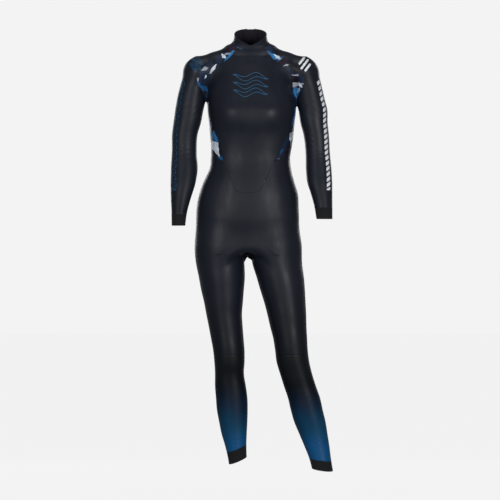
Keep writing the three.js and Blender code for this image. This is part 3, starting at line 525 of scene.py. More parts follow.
@dataclass
class Fan:
    """Rows of skin points between two edges, each row turning about its own centre.

    Angle, height and reach run evenly from the start to the end of a row, and a row that
    ends where it starts goes the whole way round. The row that a patch starts or ends with
    may be given, and its neighbours follow it less and less.
    """

    starts: Array
    ends: Array
    origins: Array
    e1: Array
    e2: Array
    steps: Array
    first: Array | None = None
    last: Array | None = None
    fade: float = 1.0

    def polar(self, p: Array, o: Array, e1: Array, e2: Array) -> tuple[Array, Array, Array]:
        """Angle, height and reach of points about o."""
        q = p - o
        axis = np.cross(e1, e2)
        h = dot(q, axis)
        flat = q - axis * h[..., None]
        return np.arctan2(dot(q, e2), dot(q, e1)), h, np.linalg.norm(flat, axis=-1)

    def mend(self, grid: Array, astray: Array) -> None:
        """Puts points whose ray slipped past the skin back between their neighbours in the row."""
        astray[:, [0, -1]] = False
        place = np.arange(grid.shape[1])
        for row in np.flatnonzero(astray.any(axis=1)):
            lost = astray[row]
            between = [np.interp(place[lost], place[~lost], grid[row][~lost, k]) for k in range(3)]
            grid[row, lost] = BODY.settle(np.stack(between, axis=1))

    def grid(self) -> Array:
        """The whole grid, rows by steps by 3."""
        n = len(self.starts)
        e1 = np.broadcast_to(self.e1, (n, 3))
        e2 = np.broadcast_to(self.e2, (n, 3))
        a0, h0, r0 = self.polar(self.starts, self.origins, e1, e2)
        a1, h1, r1 = self.polar(self.ends, self.origins, e1, e2)
        whole = (np.linalg.norm(self.starts - self.ends, axis=1) < 12) & (np.abs(a0) > 2.5)
        a0 = np.where(whole, a0 % (2 * math.pi), a0)
        a1 = np.where(whole, a1 % (2 * math.pi) - 2 * math.pi, a1)
        t = self.steps[None, :]
        angle = mix(a0[:, None], a1[:, None], t)
        height = mix(h0[:, None], h1[:, None], t)
        reach = mix(r0[:, None], r1[:, None], t)
        share = np.linspace(0, 1, n)
        for row, at, pull in (
            (self.first, 0, np.maximum(1 - share / self.fade, 0)),
            (self.last, n - 1, np.maximum(1 - (1 - share) / self.fade, 0)),
        ):
            if row is not None:
                ra, rh, _ = self.polar(row, self.origins[at], e1[at], e2[at])
                angle = angle + pull[:, None] * (ra - mix(a0[at], a1[at], self.steps))
                height = height + pull[:, None] * (rh - mix(h0[at], h1[at], self.steps))
        axis = np.cross(e1, e2)
        aim = (
            e1[:, None, :] * (reach * np.cos(angle))[..., None]
            + e2[:, None, :] * (reach * np.sin(angle))[..., None]
            + axis[:, None, :] * height[..., None]
        )
        grid = BODY.cast(self.origins[:, None, :], aim)
        grid[:, 0] = self.starts
        grid[:, -1] = self.ends
        off = np.linalg.norm(grid - self.origins[:, None, :] - aim, axis=-1)
        self.mend(grid, off > FARTHEST_FROM_AIM)
        if self.first is not None:
            grid[0] = self.first
        if self.last is not None:
            grid[-1] = self.last
        return grid


def leg_rings(side: Side, z: Array, tilt: Array) -> tuple[Array, Array, Array, Array, Array]:
    """Frames of level or tilted rings round a leg.

    Args:
        side: which leg.
        z: height of each ring at the leg's centre.
        tilt: slope of each ring along x and y, one row for each.

    Returns:
        Centres, outermost points, innermost points, forward axes and outward axes.
    """
    s = side.value
    centre = LEGS[side].at(z)[:, :2]
    o = np.concatenate([centre, z[:, None]], axis=1)
    level = unit(np.concatenate([-tilt, np.ones((len(z), 1))], axis=1))

    def flatten(v: Array) -> Array:
        """The part of a direction that lies in each ring's plane."""
        return unit(v - level * dot(level, v)[:, None])

    outer = BODY.cast(o, flatten(point(s, 0.13, 0)))
    inner = BODY.cast(o, flatten(point(-s, 0.13, 0)))
    e1 = flatten(FRONT)
    return o, outer, inner, e1, unit(np.cross(e1, level) * -s)


# ---- Relief of the worn cloth -----------------------------------------------------------


class Relief:
    """Soft folds of worn neoprene, as a small rise along the outward direction."""

    def __init__(self) -> None:
        """Sets the phases of the broad unevenness, which are the same every time."""
        source = np.random.default_rng(11)
        self.waves = unit(source.normal(size=(9, 3))) * source.uniform(0.045, 0.1, (9, 1))
        self.phases = source.uniform(0, 2 * math.pi, 9)

    def folds(self, p: Array, centre: Array, reach: Array, turn: float, pitch: float) -> Array:
        """Parallel folds: a cosine across them, fading as a bell away from their centre.

        Args:
            p: points, one to a row.
            centre: middle of the folds.
            reach: how far they spread along x, y and z.
            turn: slope of the folds across the limb.
            pitch: distance from one fold to the next.

        Returns:
            A height from -1 to 1 for each point.
        """
        q = p - centre
        bell = np.exp(-np.sum((q / reach) ** 2, axis=1))
        across = q[:, 2] + turn * q[:, 0] + 3.5 * np.sin(q[:, 0] / 13) + 2.5 * np.sin(q[:, 1] / 11)
        return bell * np.cos(2 * math.pi * across / pitch)

    def height(self, p: Array) -> Array:
        """Height of the folds at points, in millimetres."""
        broad = np.cos(p @ self.waves.T + self.phases).sum(axis=1) * 0.035
        total = broad
        for side in Side:
            s = side.value
            elbow = point(196 * s, -30, -318)
            total = total + 0.4 * self.folds(p, elbow, point(34, 36, 34), 0.35 * s, 17)
            total = total + 0.3 * self.folds(p, point(222 * s, -30, -352), point(26, 30, 26), -0.4 * s, 13)
            total = total + 0.35 * self.folds(p, point(196 * s, -26, -212), point(26, 34, 34), 1.1 * s, 19)
            total = total + 0.3 * self.folds(p, point(128 * s, -60, -150), point(30, 40, 30), -1.2 * s, 21)
            total = total + 0.25 * self.folds(p, point(118 * s, -30, -338), point(30, 60, 34), 0.3 * s, 23)
            knee = LEGS[side].at(np.array([-992.0]))[0]
            behind = point(knee[0], knee[1] + 52, -992)
            total = total + 0.9 * self.folds(p, behind, point(40, 26, 34), 0.1 * s, 18)
            ankle = LEGS[side].at(np.array([-1262.0]))[0]
            total = total + 0.35 * self.folds(p, point(ankle[0], -24, -1262), point(34, 26, 22), 0.3 * s, 13)
        total = total + 0.3 * self.folds(p, point(-70, -70, -668), point(34, 40, 26), -0.8, 26)
        return total + 0.3 * self.folds(p, point(54, -70, -668), point(34, 40, 26), 0.8, 26)


RELIEF = Relief()


# ---- Meshes -----------------------------------------------------------------------------


@dataclass
class Skin:
    """A sheet of skin made of one or more grids that share their edges."""

    name: str
    grids: list[Array]
    thickness: float
    lift: Callable[[Array], Array] | float = 0.0
    gap: float = 0.1
    relief: bool = True
    direction: Callable[[Array], Array] | None = None
    bevel: float = 0.45

    def spans(self, grid: Array) -> Array:
        """Distance along the rows and down the columns of a grid, as its cloth coordinates."""
        along = np.linalg.norm(np.diff(grid, axis=1), axis=2)
        down = np.linalg.norm(np.diff(grid, axis=0), axis=2)
        zero_col = np.zeros((grid.shape[0], 1))
        zero_row = np.zeros((1, grid.shape[1]))
        u = np.concatenate([zero_col, np.cumsum(along, axis=1)], axis=1)
        v = np.concatenate([zero_row, np.cumsum(down, axis=0)], axis=0)
        level = np.broadcast_to(v.mean(axis=1)[:, None], u.shape)
        return np.stack([u - u.mean(axis=1, keepdims=True), level], axis=2)

    def build(self, fields: dict[str, Callable[[Array], Array]] | None = None) -> bpy.types.Object:
        """Joins the grids, lifts the folds, draws in the edges and gives the skin its wall.

        Args:
            fields: named values to store at every point, worked out from its place in
                millimetres.

        Returns:
            The new object, with its wall and rounded rim as modifiers.
        """
        raw = np.concatenate([grid.reshape(-1, 3) for grid in self.grids])
        cloth = np.concatenate([self.spans(grid).reshape(-1, 2) for grid in self.grids])
        keys = np.round(raw * 500).astype(np.int64)
        _, keep, merged = np.unique(keys, axis=0, return_index=True, return_inverse=True)
        merged = merged.reshape(-1)
        points = raw[keep]
        normals = self.direction(points) if self.direction else BODY.outward(points)
        quads = self.oriented_quads(raw, normals[merged])
        faces = merged[quads]
        rise = RELIEF.height(points) if self.relief else np.zeros(len(points))
        lift = self.lift(points) if callable(self.lift) else self.lift
        placed = points + normals * (rise + lift)[:, None] + self.draw_in(points, normals, faces)
        mesh = bpy.data.meshes.new(self.name)
        self.fill(mesh, placed, quads, faces, cloth)
        for word, worked_out in (fields or {}).items():
            mesh.attributes.new(word, "FLOAT", "POINT").data.foreach_set(
                "value", worked_out(points).astype(np.float32)
            )
        piece = bpy.data.objects.new(self.name, mesh)
        bpy.context.scene.collection.objects.link(piece)
        wall = piece.modifiers.new("wall", "SOLIDIFY")
        wall.thickness = self.thickness * MM
        wall.offset = -1.0
        wall.material_offset = 1
        if self.bevel:
            rim = piece.modifiers.new("rim", "BEVEL")
            rim.width = self.bevel * MM
            rim.segments = 3
            rim.limit_method = "ANGLE"
            rim.angle_limit = math.radians(50)
        return piece

    def oriented_quads(self, raw: Array, normals: Array) -> Array:
        """Quads of every grid as raw point numbers, all wound to face outwards."""
        start = 0
        every = []
        for grid in self.grids:
            rows, cols = grid.shape[:2]
            ids = start + np.arange(rows * cols).reshape(rows, cols)
            start += rows * cols
            q = np.stack([ids[:-1, :-1], ids[:-1, 1:], ids[1:, 1:], ids[1:, :-1]], axis=-1).reshape(-1, 4)
            a, b, c, d = (raw[q[:, k]] for k in range(4))
            facing = dot(np.cross(c - a, d - b), normals[q[:, 0]]).sum()
            every.append(q if facing > 0 else q[:, ::-1])
        return np.concatenate(every)

    def draw_in(self, points: Array, normals: Array, faces: Array) -> Array:
        """Small moves that draw the skin's own edge in, by half of the joint between panels."""
        n = len(points)
        edges = np.concatenate([faces[:, [k, (k + 1) % 4]] for k in range(4)])
        edges = edges[edges[:, 0] != edges[:, 1]]
        code = edges[:, 0] * n + edges[:, 1]
        back = edges[:, 1] * n + edges[:, 0]
        rim = edges[~np.isin(code, back)]
        along = unit(points[rim[:, 1]] - points[rim[:, 0]])
        total = np.zeros((n, 3))
        for k in (0, 1):
            np.add.at(total, rim[:, k], unit(np.cross(normals[rim[:, k]], along)))
        share = np.maximum(dot(total, total) / 2, 0.3)
        return total * (self.gap / share)[:, None]

    def fill(self, mesh: bpy.types.Mesh, placed: Array, quads: Array, faces: Array, cloth: Array) -> None:
        """Writes the points, faces and cloth coordinates into a mesh."""
        same = faces == np.roll(faces, -1, axis=1)
        whole = ~same.any(axis=1)
        loops = [faces[whole].reshape(-1)]
        starts = [np.arange(whole.sum()) * 4]
        raws = [quads[whole].reshape(-1)]
        count = int(whole.sum()) * 4
        single = same.sum(axis=1) == 1
        if single.any():
            keep = ~same[single]
            loops.append(faces[single][keep])
            raws.append(quads[single][keep])
            starts.append(count + np.arange(single.sum()) * 3)
        loop = np.concatenate(loops).astype(np.int32)
        start = np.concatenate(starts).astype(np.int32)
        mesh.vertices.add(len(placed))
        mesh.vertices.foreach_set("co", (placed * MM).astype(np.float32).ravel())
        mesh.loops.add(len(loop))
        mesh.loops.foreach_set("vertex_index", loop)
        mesh.polygons.add(len(start))
        mesh.polygons.foreach_set("loop_start", start)
        mesh.update(calc_edges=True)
        mesh.validate()
        uv = mesh.uv_layers.new(name="cloth")
        uv.data.foreach_set("uv", (cloth[np.concatenate(raws)] * MM).astype(np.float32).ravel())
        mesh.polygons.foreach_set("use_smooth", np.ones(len(start), bool))


def solid_mesh(name: str, points: Array, faces: Sequence[Sequence[int]]) -> bpy.types.Object:
    """An object from points in millimetres and faces that point outwards."""
    mesh = bpy.data.meshes.new(name)
    mesh.from_pydata((points * MM).tolist(), [], [list(map(int, f)) for f in faces])
    mesh.polygons.foreach_set("use_smooth", np.ones(len(mesh.polygons), bool))
    mesh.update()
    piece = bpy.data.objects.new(name, mesh)
    bpy.context.scene.collection.objects.link(piece)
    return piece


def tube(path: Array, radius: Array | float, sides: int, up: Array) -> tuple[Array, Array]:
    """A round tube along a path: a circle of points about each path point, and end caps.

    Args:
        path: points of the centreline.
        radius: one radius, or one for each path point.
        sides: points in each circle.
        up: a direction never parallel to the path.

    Returns:
        Points and four-sided faces, with each end closed onto its own middle.
    """
    n = len(path)
    along = unit(np.gradient(path, axis=0))
    across = unit(np.cross(along, np.broadcast_to(up, along.shape)))
    third = np.cross(across, along)
    turn = np.arange(sides) * 2 * math.pi / sides
    r = np.broadcast_to(np.asarray(radius, float), n)[:, None, None]
    rings = path[:, None] + r * (
        across[:, None] * np.cos(turn)[None, :, None] + third[:, None] * np.sin(turn)[None, :, None]
    )
    points = np.concatenate([rings.reshape(-1, 3), path[:1], path[-1:]])
    i = np.arange(n - 1)[:, None] * sides
    j = np.arange(sides)[None, :]
    k = (j + 1) % sides
    faces = np.stack([i + j, i + sides + j, i + sides + k, i + k], axis=-1).reshape(-1, 4)
    first, last = n * sides, n * sides + 1
    j, k = j[0], k[0]
    head = np.stack([j, k, np.full(sides, first)], axis=1)
    tail = np.stack([(n - 1) * sides + k, (n - 1) * sides + j, np.full(sides, last)], axis=1)
    return points, [*faces.tolist(), *head.tolist(), *tail.tolist()]


def stitches(
    name: str, path: Array, normals: Array, pitch: float, length: float, radius: float
) -> bpy.types.Object:
    """A row of sewn stitches: one short arched thread at every pitch along a line.

    Each thread is a tube of five rings whose middle stands proud and whose ends dive in.

    Args:
        name: name of the new piece.
        path: line on the cloth, in millimetres.
        normals: outward directions along the line.
        pitch: distance from one stitch to the next.
        length: length of each stitch.
        radius: radius of the thread.

    Returns:
        The new object.
    """
    along = np.concatenate([[0], np.cumsum(np.linalg.norm(np.diff(path, axis=0), axis=1))])
    middles = np.arange(pitch / 2, along[-1], pitch)

    def read(v: Array, where: Array) -> Array:
        """Values at distances along the path."""
        return np.stack([np.interp(where, along, v[:, k]) for k in range(3)], axis=-1)

    centre = read(path, middles)
    out = unit(read(normals, middles))
    ahead = unit(read(path, middles + 0.3) - read(path, middles - 0.3))
    across = np.cross(out, ahead)
    share = np.linspace(-1, 1, 5)
    rise = radius * (0.9 - 2.2 * share**4)
    lines = (
        centre[:, None]
        + ahead[:, None] * (share * length / 2)[None, :, None]
        + out[:, None] * rise[None, :, None]
    )
    turn = np.arange(5) * 2 * math.pi / 5
    girth = radius * (1 - 0.35 * share**2)
    rings = lines[:, :, None] + girth[None, :, None, None] * (
        across[:, None, None] * np.cos(turn)[None, None, :, None]
        + out[:, None, None] * np.sin(turn)[None, None, :, None]
    )
    count = len(middles)
    points = rings.reshape(-1, 3)
    base = (np.arange(count) * 25)[:, None, None]
    i = (np.arange(4) * 5)[None, :, None]
    j = np.arange(5)[None, None, :]
    k = (j + 1) % 5
    quads = np.stack([base + i + j, base + i + k, base + i + 5 + k, base + i + 5 + j], axis=-1).reshape(-1, 4)
    start = np.arange(count)[:, None] * 25
    near = start + np.array([4, 3, 2, 1, 0])
    far = start + 20 + np.arange(5)
    return solid_mesh(name, points, [*quads.tolist(), *near.tolist(), *far.tolist()])


# ---- Finishes ---------------------------------------------------------------------------


class Nodes:
    """A material's node tree, with one short method for each kind of node used."""

    def __init__(self, name: str) -> None:
        """Args:
        name: name of the new material.
        """
        self.material = bpy.data.materials.new(name)
        self.material.use_nodes = True
        self.tree = self.material.node_tree
        self.shader = self.tree.nodes["Principled BSDF"]

    def add(self, kind: str, **values: object) -> bpy.types.Node:
        """A new node of a kind, with its own settings."""
        node = self.tree.nodes.new(kind)
        for word, value in values.items():
            setattr(node, word, value)
        return node

    def link(self, source: Socket, target: Socket) -> None:
        """Joins an output to an input."""
        self.tree.links.new(source, target)

    def plug(self, socket: Socket, value: object) -> None:
        """Sets an input to a number or colour, or joins it to an output."""
        if isinstance(value, Socket):
            self.link(value, socket)
        else:
            socket.default_value = value

    def place(self, scale: Sequence[float] = (1, 1, 1), turn: Sequence[float] = (0, 0, 0)) -> Socket:
        """Object coordinates in metres, scaled and turned."""
        source = self.add("ShaderNodeTexCoord").outputs["Object"]
        return self.mapped(source, scale, turn)

    def cloth(self, scale: Sequence[float] = (1, 1, 1), turn: Sequence[float] = (0, 0, 0)) -> Socket:
        """The piece's own cloth coordinates in metres, scaled and turned."""
        return self.mapped(self.add("ShaderNodeUVMap", uv_map="cloth").outputs["UV"], scale, turn)

    def mapped(self, source: Socket, scale: Sequence[float], turn: Sequence[float]) -> Socket:
        """Coordinates scaled and turned by a Mapping node."""
        node = self.add("ShaderNodeMapping")
        self.link(source, node.inputs["Vector"])
        node.inputs["Scale"].default_value = scale
        node.inputs["Rotation"].default_value = turn
        return node.outputs["Vector"]

    def noise(self, where: Socket, scale: float, detail: float = 2.0, rough: float = 0.5) -> Socket:
        """Soft noise from 0 to 1."""
        node = self.add("ShaderNodeTexNoise")
        self.link(where, node.inputs["Vector"])
        node.inputs["Scale"].default_value = scale
        node.inputs["Detail"].default_value = detail
        node.inputs["Roughness"].default_value = rough
        return node.outputs["Fac"]

    def cells(
        self, where: Socket, scale: float, feature: str = "F1", output: str = "Distance"
    ) -> Socket:
        """Cell pattern, as the distance to the nearest cell point or the cell's own colour."""
        node = self.add("ShaderNodeTexVoronoi", feature=feature)
        self.link(where, node.inputs["Vector"])
        node.inputs["Scale"].default_value = scale
        return node.outputs[output]

    def wave(self, where: Socket, scale: float, direction: str = "X", bend: float = 0.0) -> Socket:
        """Even ridges across one direction."""
        node = self.add("ShaderNodeTexWave", bands_direction=direction)
        self.link(where, node.inputs["Vector"])
        node.inputs["Scale"].default_value = scale
        node.inputs["Distortion"].default_value = bend
        return node.outputs["Fac"]

    def math(self, operation: str, a: object, b: object = 0.0) -> Socket:
        """One step of arithmetic."""
        node = self.add("ShaderNodeMath", operation=operation)
        self.plug(node.inputs[0], a)
        self.plug(node.inputs[1], b)
        return node.outputs[0]

    def span(
        self, value: object, low: float, high: float, out_low: float = 0.0, out_high: float = 1.0,
        smooth: bool = True,
    ) -> Socket:
        """Carries low..high onto out_low..out_high, held at both ends."""
        node = self.add("ShaderNodeMapRange", interpolation_type="SMOOTHSTEP" if smooth else "LINEAR")
        self.plug(node.inputs["Value"], value)
        ends = {"From Min": low, "From Max": high, "To Min": out_low, "To Max": out_high}
        for word, number in ends.items():
            node.inputs[word].default_value = number
        return node.outputs["Result"]

    def stored(self, word: str) -> Socket:
        """A value stored at the piece's points."""
        return self.add("ShaderNodeAttribute", attribute_name=word).outputs["Fac"]

    def blend(self, share: object, a: object, b: object) -> Socket:
        """Mix of two colours."""
        node = self.add("ShaderNodeMix", data_type="RGBA")
        self.plug(node.inputs[0], share)
        self.plug(node.inputs[6], a)
        self.plug(node.inputs[7], b)
        return node.outputs[2]

    def ramp(self, value: object, stops: Sequence[tuple[float, tuple[float, float, float]]]) -> Socket:
        """Colour read from a ramp of stops."""
        node = self.add("ShaderNodeValToRGB")
        self.plug(node.inputs[0], value)
        band = node.color_ramp.elements
        while len(band) < len(stops):
            band.new(0.5)
        for element, (at, colour) in zip(band, stops):
            element.position = at
            element.color = (*colour, 1)
        return node.outputs[0]

    def height(self) -> Socket:
        """Height in the frame, in metres."""
        source = self.add("ShaderNodeTexCoord").outputs["Object"]
        split = self.add("ShaderNodeSeparateXYZ")
        self.link(source, split.inputs[0])
        return split.outputs["Z"]

    def bump(
        self, value: Socket, depth: float, strength: float = 1.0, under: Socket | None = None
    ) -> Socket:
        """Surface tilt from a height, laid over another tilt if one is given."""
        node = self.add("ShaderNodeBump")
        self.link(value, node.inputs["Height"])
        node.inputs["Distance"].default_value = depth
        node.inputs["Strength"].default_value = strength
        if under is not None:
            self.link(under, node.inputs["Normal"])
        return node.outputs["Normal"]

    def finish(
        self, colour: object, roughness: object, normal: Socket | None = None, **constants: float | tuple
    ) -> bpy.types.Material:
        """Plugs the shader in; constants go straight onto its own sockets."""
        self.plug(self.shader.inputs["Base Color"], colour)
        self.plug(self.shader.inputs["Roughness"], roughness)
        if normal is not None:
            self.link(normal, self.shader.inputs["Normal"])
        for word, value in constants.items():
            self.shader.inputs[word.replace("_", " ").title().replace("Ior", "IOR")].default_value = value
        return self.material


Colour = tuple[float, float, float]


@dataclass(frozen=True)
class SmoothSkinFinish:
    """Satin neoprene with its closed-cell skin outside: near-black, with fine pores."""

    name: str = "smoothskin"
    upper: Colour = (0.0085, 0.0105, 0.0165)
    lower: Colour = (0.0034, 0.0048, 0.0078)
    roughness: float = 0.43
    pores: float = 0.00004
    gloss: float = 0.17

    def tone(self, n: Nodes) -> Socket:
        """Charcoal that deepens to black towards the knees, clouded a little."""
        shade = n.span(n.height(), -1.03, -0.74)
        cloud = n.span(n.noise(n.place(), 9.0, 3.0), 0.3, 0.7, 0.88, 1.1)
        ground = n.blend(shade, (*self.lower, 1), (*self.upper, 1))
        return self.scaled(n, ground, cloud)

    def scaled(self, n: Nodes, colour: object, amount: object) -> Socket:
        """A colour made lighter or darker by an amount."""
        node = n.add("ShaderNodeVectorMath", operation="SCALE")
        n.plug(node.inputs[0], colour)
        n.plug(node.inputs["Scale"], amount)
        return node.outputs[0]

    def surface(self, n: Nodes) -> tuple[Socket, Socket]:
        """Roughness and tilt that every smooth-skinned piece shares."""
        streak = n.noise(n.place((1, 1, 0.35)), 38.0, 3.0)
        rough = n.span(streak, 0.3, 0.7, self.roughness - 0.05, self.roughness + 0.06)
        pores = n.cells(n.place(), 900.0)
        grain = n.bump(pores, self.pores, 0.5)
        ripple = n.bump(n.noise(n.place((1, 1, 0.7)), 55.0, 3.0), 0.0006, 0.22, grain)
        return rough, ripple

    def build(self, marks: "MarkFinish | None" = None) -> bpy.types.Material:
        """The finished material, with painted marks if any are given."""
        n = Nodes(self.name if marks is None else marks.name)
        colour: object = self.tone(n)
        rough, tilt = self.surface(n)
        if marks is not None:
            colour = marks.over(n, colour)
        return n.finish(colour, rough, tilt, specular_ior_level=self.gloss)


@dataclass(frozen=True)
class MarkFinish:
    """Thin ink on smooth skin: outlines where a stored line value is near zero, and filled
    shapes where a stored fill value is above zero."""

    name: str
    line: Colour | None = None
    fill: Colour | None = None
    half_line: float = 0.9

    def over(self, n: Nodes, ground: object) -> object:
        """The ground colour with the ink laid on it."""
        colour = ground
        if self.line is not None:
            near = n.math("ABSOLUTE", n.stored("mark_line"))
            ink = n.span(near, self.half_line - 0.25, self.half_line + 0.25, 1.0, 0.0)
            colour = n.blend(ink, colour, (*self.line, 1))
        if self.fill is not None:
            ink = n.span(n.stored("mark_fill"), -0.25, 0.25)
            colour = n.blend(ink, colour, (*self.fill, 1))
        return colour


@dataclass(frozen=True)
class PrintFinish:
    """Printed neoprene: pale, grey and blue shards on a broken plum-black ground."""

    ground: Colour = (0.0075, 0.0065, 0.0105)
    plum: Colour = (0.016, 0.010, 0.020)
    deep: Colour = (0.0075, 0.018, 0.042)
    blue: Colour = (0.012, 0.072, 0.19)
    bright: Colour = (0.022, 0.15, 0.36)
    grey: Colour = (0.30, 0.32, 0.37)
    pale: Colour = (0.56, 0.62, 0.70)

    def build(self, base: SmoothSkinFinish) -> bpy.types.Material:
        """The finished material, on the surface of the plain smooth skin."""
        n = Nodes("printed_smoothskin")
        warp = n.place((1, 1, 0.62), (0.0, 0.6, 0.25))
        facets = n.cells(warp, 46.0, "F1", "Color")
        split = n.add("ShaderNodeSeparateColor")
        n.link(facets, split.inputs[0])
        colour: object = n.blend(n.span(split.outputs[0], 0.52, 0.56), (*self.ground, 1), (*self.plum, 1))
        colour = n.blend(n.span(split.outputs[1], 0.68, 0.7), colour, (*self.deep, 1))
        for word in ("deep", "blue", "bright", "grey", "pale"):
            ink = n.span(n.stored(word), -0.3, 0.3)
            streak = n.span(n.noise(n.place((1, 1, 0.4), (0, 0.5, 0)), 160.0, 2.0), 0.35, 0.65, 0.82, 1.08)
            tone = base.scaled(n, (*getattr(self, word),), streak)
            colour = n.blend(ink, colour, tone)
        rough, tilt = base.surface(n)
        return n.finish(colour, rough, tilt, specular_ior_level=base.gloss)


@dataclass(frozen=True)
class GradedFinish:
    """Lower-leg neoprene, dyed from black at the knee to clear blue above the ankle."""

    tones: tuple[tuple[float, Colour], ...] = (
        (0.0, (0.0040, 0.0050, 0.0066)), (0.12, (0.0030, 0.0040, 0.0060)), (0.22, (0.0013, 0.0021, 0.0040)),
        (0.36, (0.0012, 0.0055, 0.0140)), (0.5, (0.0015, 0.0110, 0.0300)), (0.73, (0.0015, 0.0400, 0.0890)),
        (0.9, (0.0025, 0.0610, 0.1670)), (1.0, (0.0025, 0.0640, 0.1720)),
    )

    def build(self, base: SmoothSkinFinish) -> bpy.types.Material:
        """The finished material, on the surface of the plain smooth skin."""
        n = Nodes("graded_smoothskin")
        drift = n.span(n.noise(n.place(), 6.0, 3.0), 0.3, 0.7, -0.018, 0.018)
        where = n.math("ADD", n.height(), drift)
        share = n.span(where, -1.02, -1.30, 0.0, 1.0, smooth=False)
        rough, tilt = base.surface(n)
        return n.finish(n.ramp(share, list(self.tones)), rough, tilt, specular_ior_level=base.gloss)


@dataclass(frozen=True)
class KnitFinish:
    """Fine stretch jersey: columns of loops, seen as two crossed rows of ridges."""

    name: str
    colour: Colour
    roughness: float = 0.82
    loops: float = 240.0
    depth: float = 0.00022
    sheen: float = 0.05

    def build(self) -> bpy.types.Material:
        """The finished material."""
        n = Nodes(self.name)
        ribs = n.wave(n.cloth(), self.loops, "X", 0.6)
        rows = n.wave(n.cloth(), self.loops * 0.72, "Y", 0.8)
        weave = n.math("MULTIPLY", ribs, rows)
        fuzz = n.noise(n.place(), 520.0, 2.0)
        # painted shade and highlight: the colour drops to 0.55 of itself in the grooves between the loops and
        # rises to 1.25 on their crowns, standing in for how light falls on the knit
        tone = n.ramp(n.span(weave, 0.0, 1.0, smooth=False), [
            (0.0, tuple(0.55 * c for c in self.colour)),
            (1.0, tuple(1.25 * c for c in self.colour)),
        ])
        cloud = n.span(n.noise(n.place(), 14.0, 3.0), 0.3, 0.7, 0.9, 1.1)
        shade = SmoothSkinFinish().scaled(n, tone, cloud)
        tilt = n.bump(fuzz, 0.0001, 0.3, n.bump(weave, self.depth, 0.7))
        return n.finish(shade, n.span(fuzz, 0.3, 0.7, self.roughness - 0.05, self.roughness + 0.05), tilt,
                        sheen_weight=self.sheen, sheen_roughness=0.5, specular_ior_level=0.2)


@dataclass(frozen=True)
class PileFinish:
    """Touch-and-close fabric: a dense pile of loops or hooks."""

    name: str
    colour: Colour
    pitch: float

    def build(self) -> bpy.types.Material:
        """The finished material."""
        n = Nodes(self.name)
        tufts = n.cells(n.cloth(), self.pitch)
        deep = n.span(tufts, 0.0, 0.6, 1.0, 0.0)
        # painted shade: the colour dims to 0.4 of itself in the low gaps between the tufts and is full on
        # their tops, where the bump puts them high
        tone = n.ramp(deep, [(0.0, tuple(0.4 * c for c in self.colour)), (1.0, self.colour)])
        return n.finish(tone, 0.9, n.bump(deep, 0.0006, 0.9), sheen_weight=0.5)


@dataclass(frozen=True)
class PlainFinish:
    """Moulded nylon, coated metal or thread: one tone with fine wear."""

    name: str
    colour: Colour
    roughness: float
    metal: float = 0.0
    wear: float = 0.05
    grain: float = 700.0

    def build(self) -> bpy.types.Material:
        """The finished material."""
        n = Nodes(self.name)
        worn = n.noise(n.place(), self.grain, 4.0, 0.6)
        shade = SmoothSkinFinish().scaled(n, (*self.colour,), n.span(worn, 0.3, 0.7, 0.8, 1.2))
        rough = n.span(worn, 0.3, 0.7, self.roughness - self.wear, self.roughness + self.wear)
        return n.finish(shade, rough, n.bump(worn, 0.00004, 0.4), metallic=self.metal)


class Wardrobe:
    """Every finish of the suit, made once."""

    def __init__(self) -> None:
        """Builds all the materials."""
        base = SmoothSkinFinish()
        line_blue = (0.018, 0.085, 0.17)
        self.smooth = base.build()
        self.chest = base.build(MarkFinish("smoothskin_wave_mark", line=line_blue, half_line=0.85))
        self.sleeve_right = base.build(
            MarkFinish("smoothskin_blue_marks", line=(0.012, 0.075, 0.16), half_line=0.8)
        )
        self.sleeve_left = base.build(MarkFinish("smoothskin_pale_marks", fill=(0.66, 0.68, 0.70)))
        self.printed = PrintFinish().build(base)
        self.graded = GradedFinish().build(base)
        self.knit = KnitFinish("cuff_knit", (0.0075, 0.0078, 0.0088)).build()
        self.lining = KnitFinish("lining_jersey", (0.012, 0.009, 0.016), 0.8, 200.0).build()
        self.tape = KnitFinish("zip_tape_weave", (0.010, 0.010, 0.011), 0.75, 300.0, 0.0003, 0.1).build()
        self.loops = PileFinish("loop_pile", (0.014, 0.014, 0.015), 900.0).build()
        self.hooks = PileFinish("hook_pile", (0.012, 0.012, 0.012), 620.0).build()
        self.coil = PlainFinish("coil_nylon", (0.012, 0.012, 0.013), 0.38).build()
        self.metal = PlainFinish("slider_metal", (0.10, 0.105, 0.11), 0.34, metal=0.9, wear=0.08).build()
        self.thread = PlainFinish("stitch_thread", (0.020, 0.021, 0.024), 0.6, grain=1500.0).build()
        self.piping = PlainFinish("collar_line", (0.03, 0.15, 0.30), 0.45).build()


def dress(piece: bpy.types.Object, *materials: bpy.types.Material) -> bpy.types.Object:
    """Puts materials in a piece's slots, outer face first and lining second."""
    piece.data.materials.clear()
    for material in materials:
        piece.data.materials.append(material)
    return piece


def settle_in(piece: bpy.types.Object, body: str, slot: str, *nodes: str) -> bpy.types.Object:
    """Rides a piece on a body and hides the frame's nodes it stands for."""
    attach(piece, body)
    if nodes:
        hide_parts(*nodes)
    LOG.info("%s: %d points, rides %s", piece.name, len(piece.data.vertices), body)
    return piece


# ---- Printed and painted patterns -------------------------------------------------------


class Tone(Enum):
    """Inks of the printed band."""

    DEEP = "deep"
    BLUE = "blue"
    BRIGHT = "bright"
    GREY = "grey"
    PALE = "pale"


@dataclass(frozen=True)
class Shard:
    """A sharp kite of one ink: x and z of its middle, length, width and lean in degrees.

    The share along it where it is widest is its peak, from -1 to 1.
    """

    tone: Tone
    x: float
    z: float
    length: float
    width: float
    lean: float
    peak: float = 0.35

    def field(self, p: Array) -> Array:
        """Millimetres inside the kite, below zero outside: its half width there, which falls
        straight from the peak to both tips, less the distance from its middle line."""
        a = math.radians(self.lean)
        dx = p[:, 0] - self.x
        dz = p[:, 2] - self.z
        along = dx * math.cos(a) + dz * math.sin(a)
        across = dz * math.cos(a) - dx * math.sin(a) + 0.6 * np.sin(along / 2.9 + self.x)
        t = along / (self.length / 2)
        fall = np.minimum((1 + t) / (1 + self.peak), (1 - t) / (1 - self.peak))
        return self.width / 2 * fall - np.abs(across)


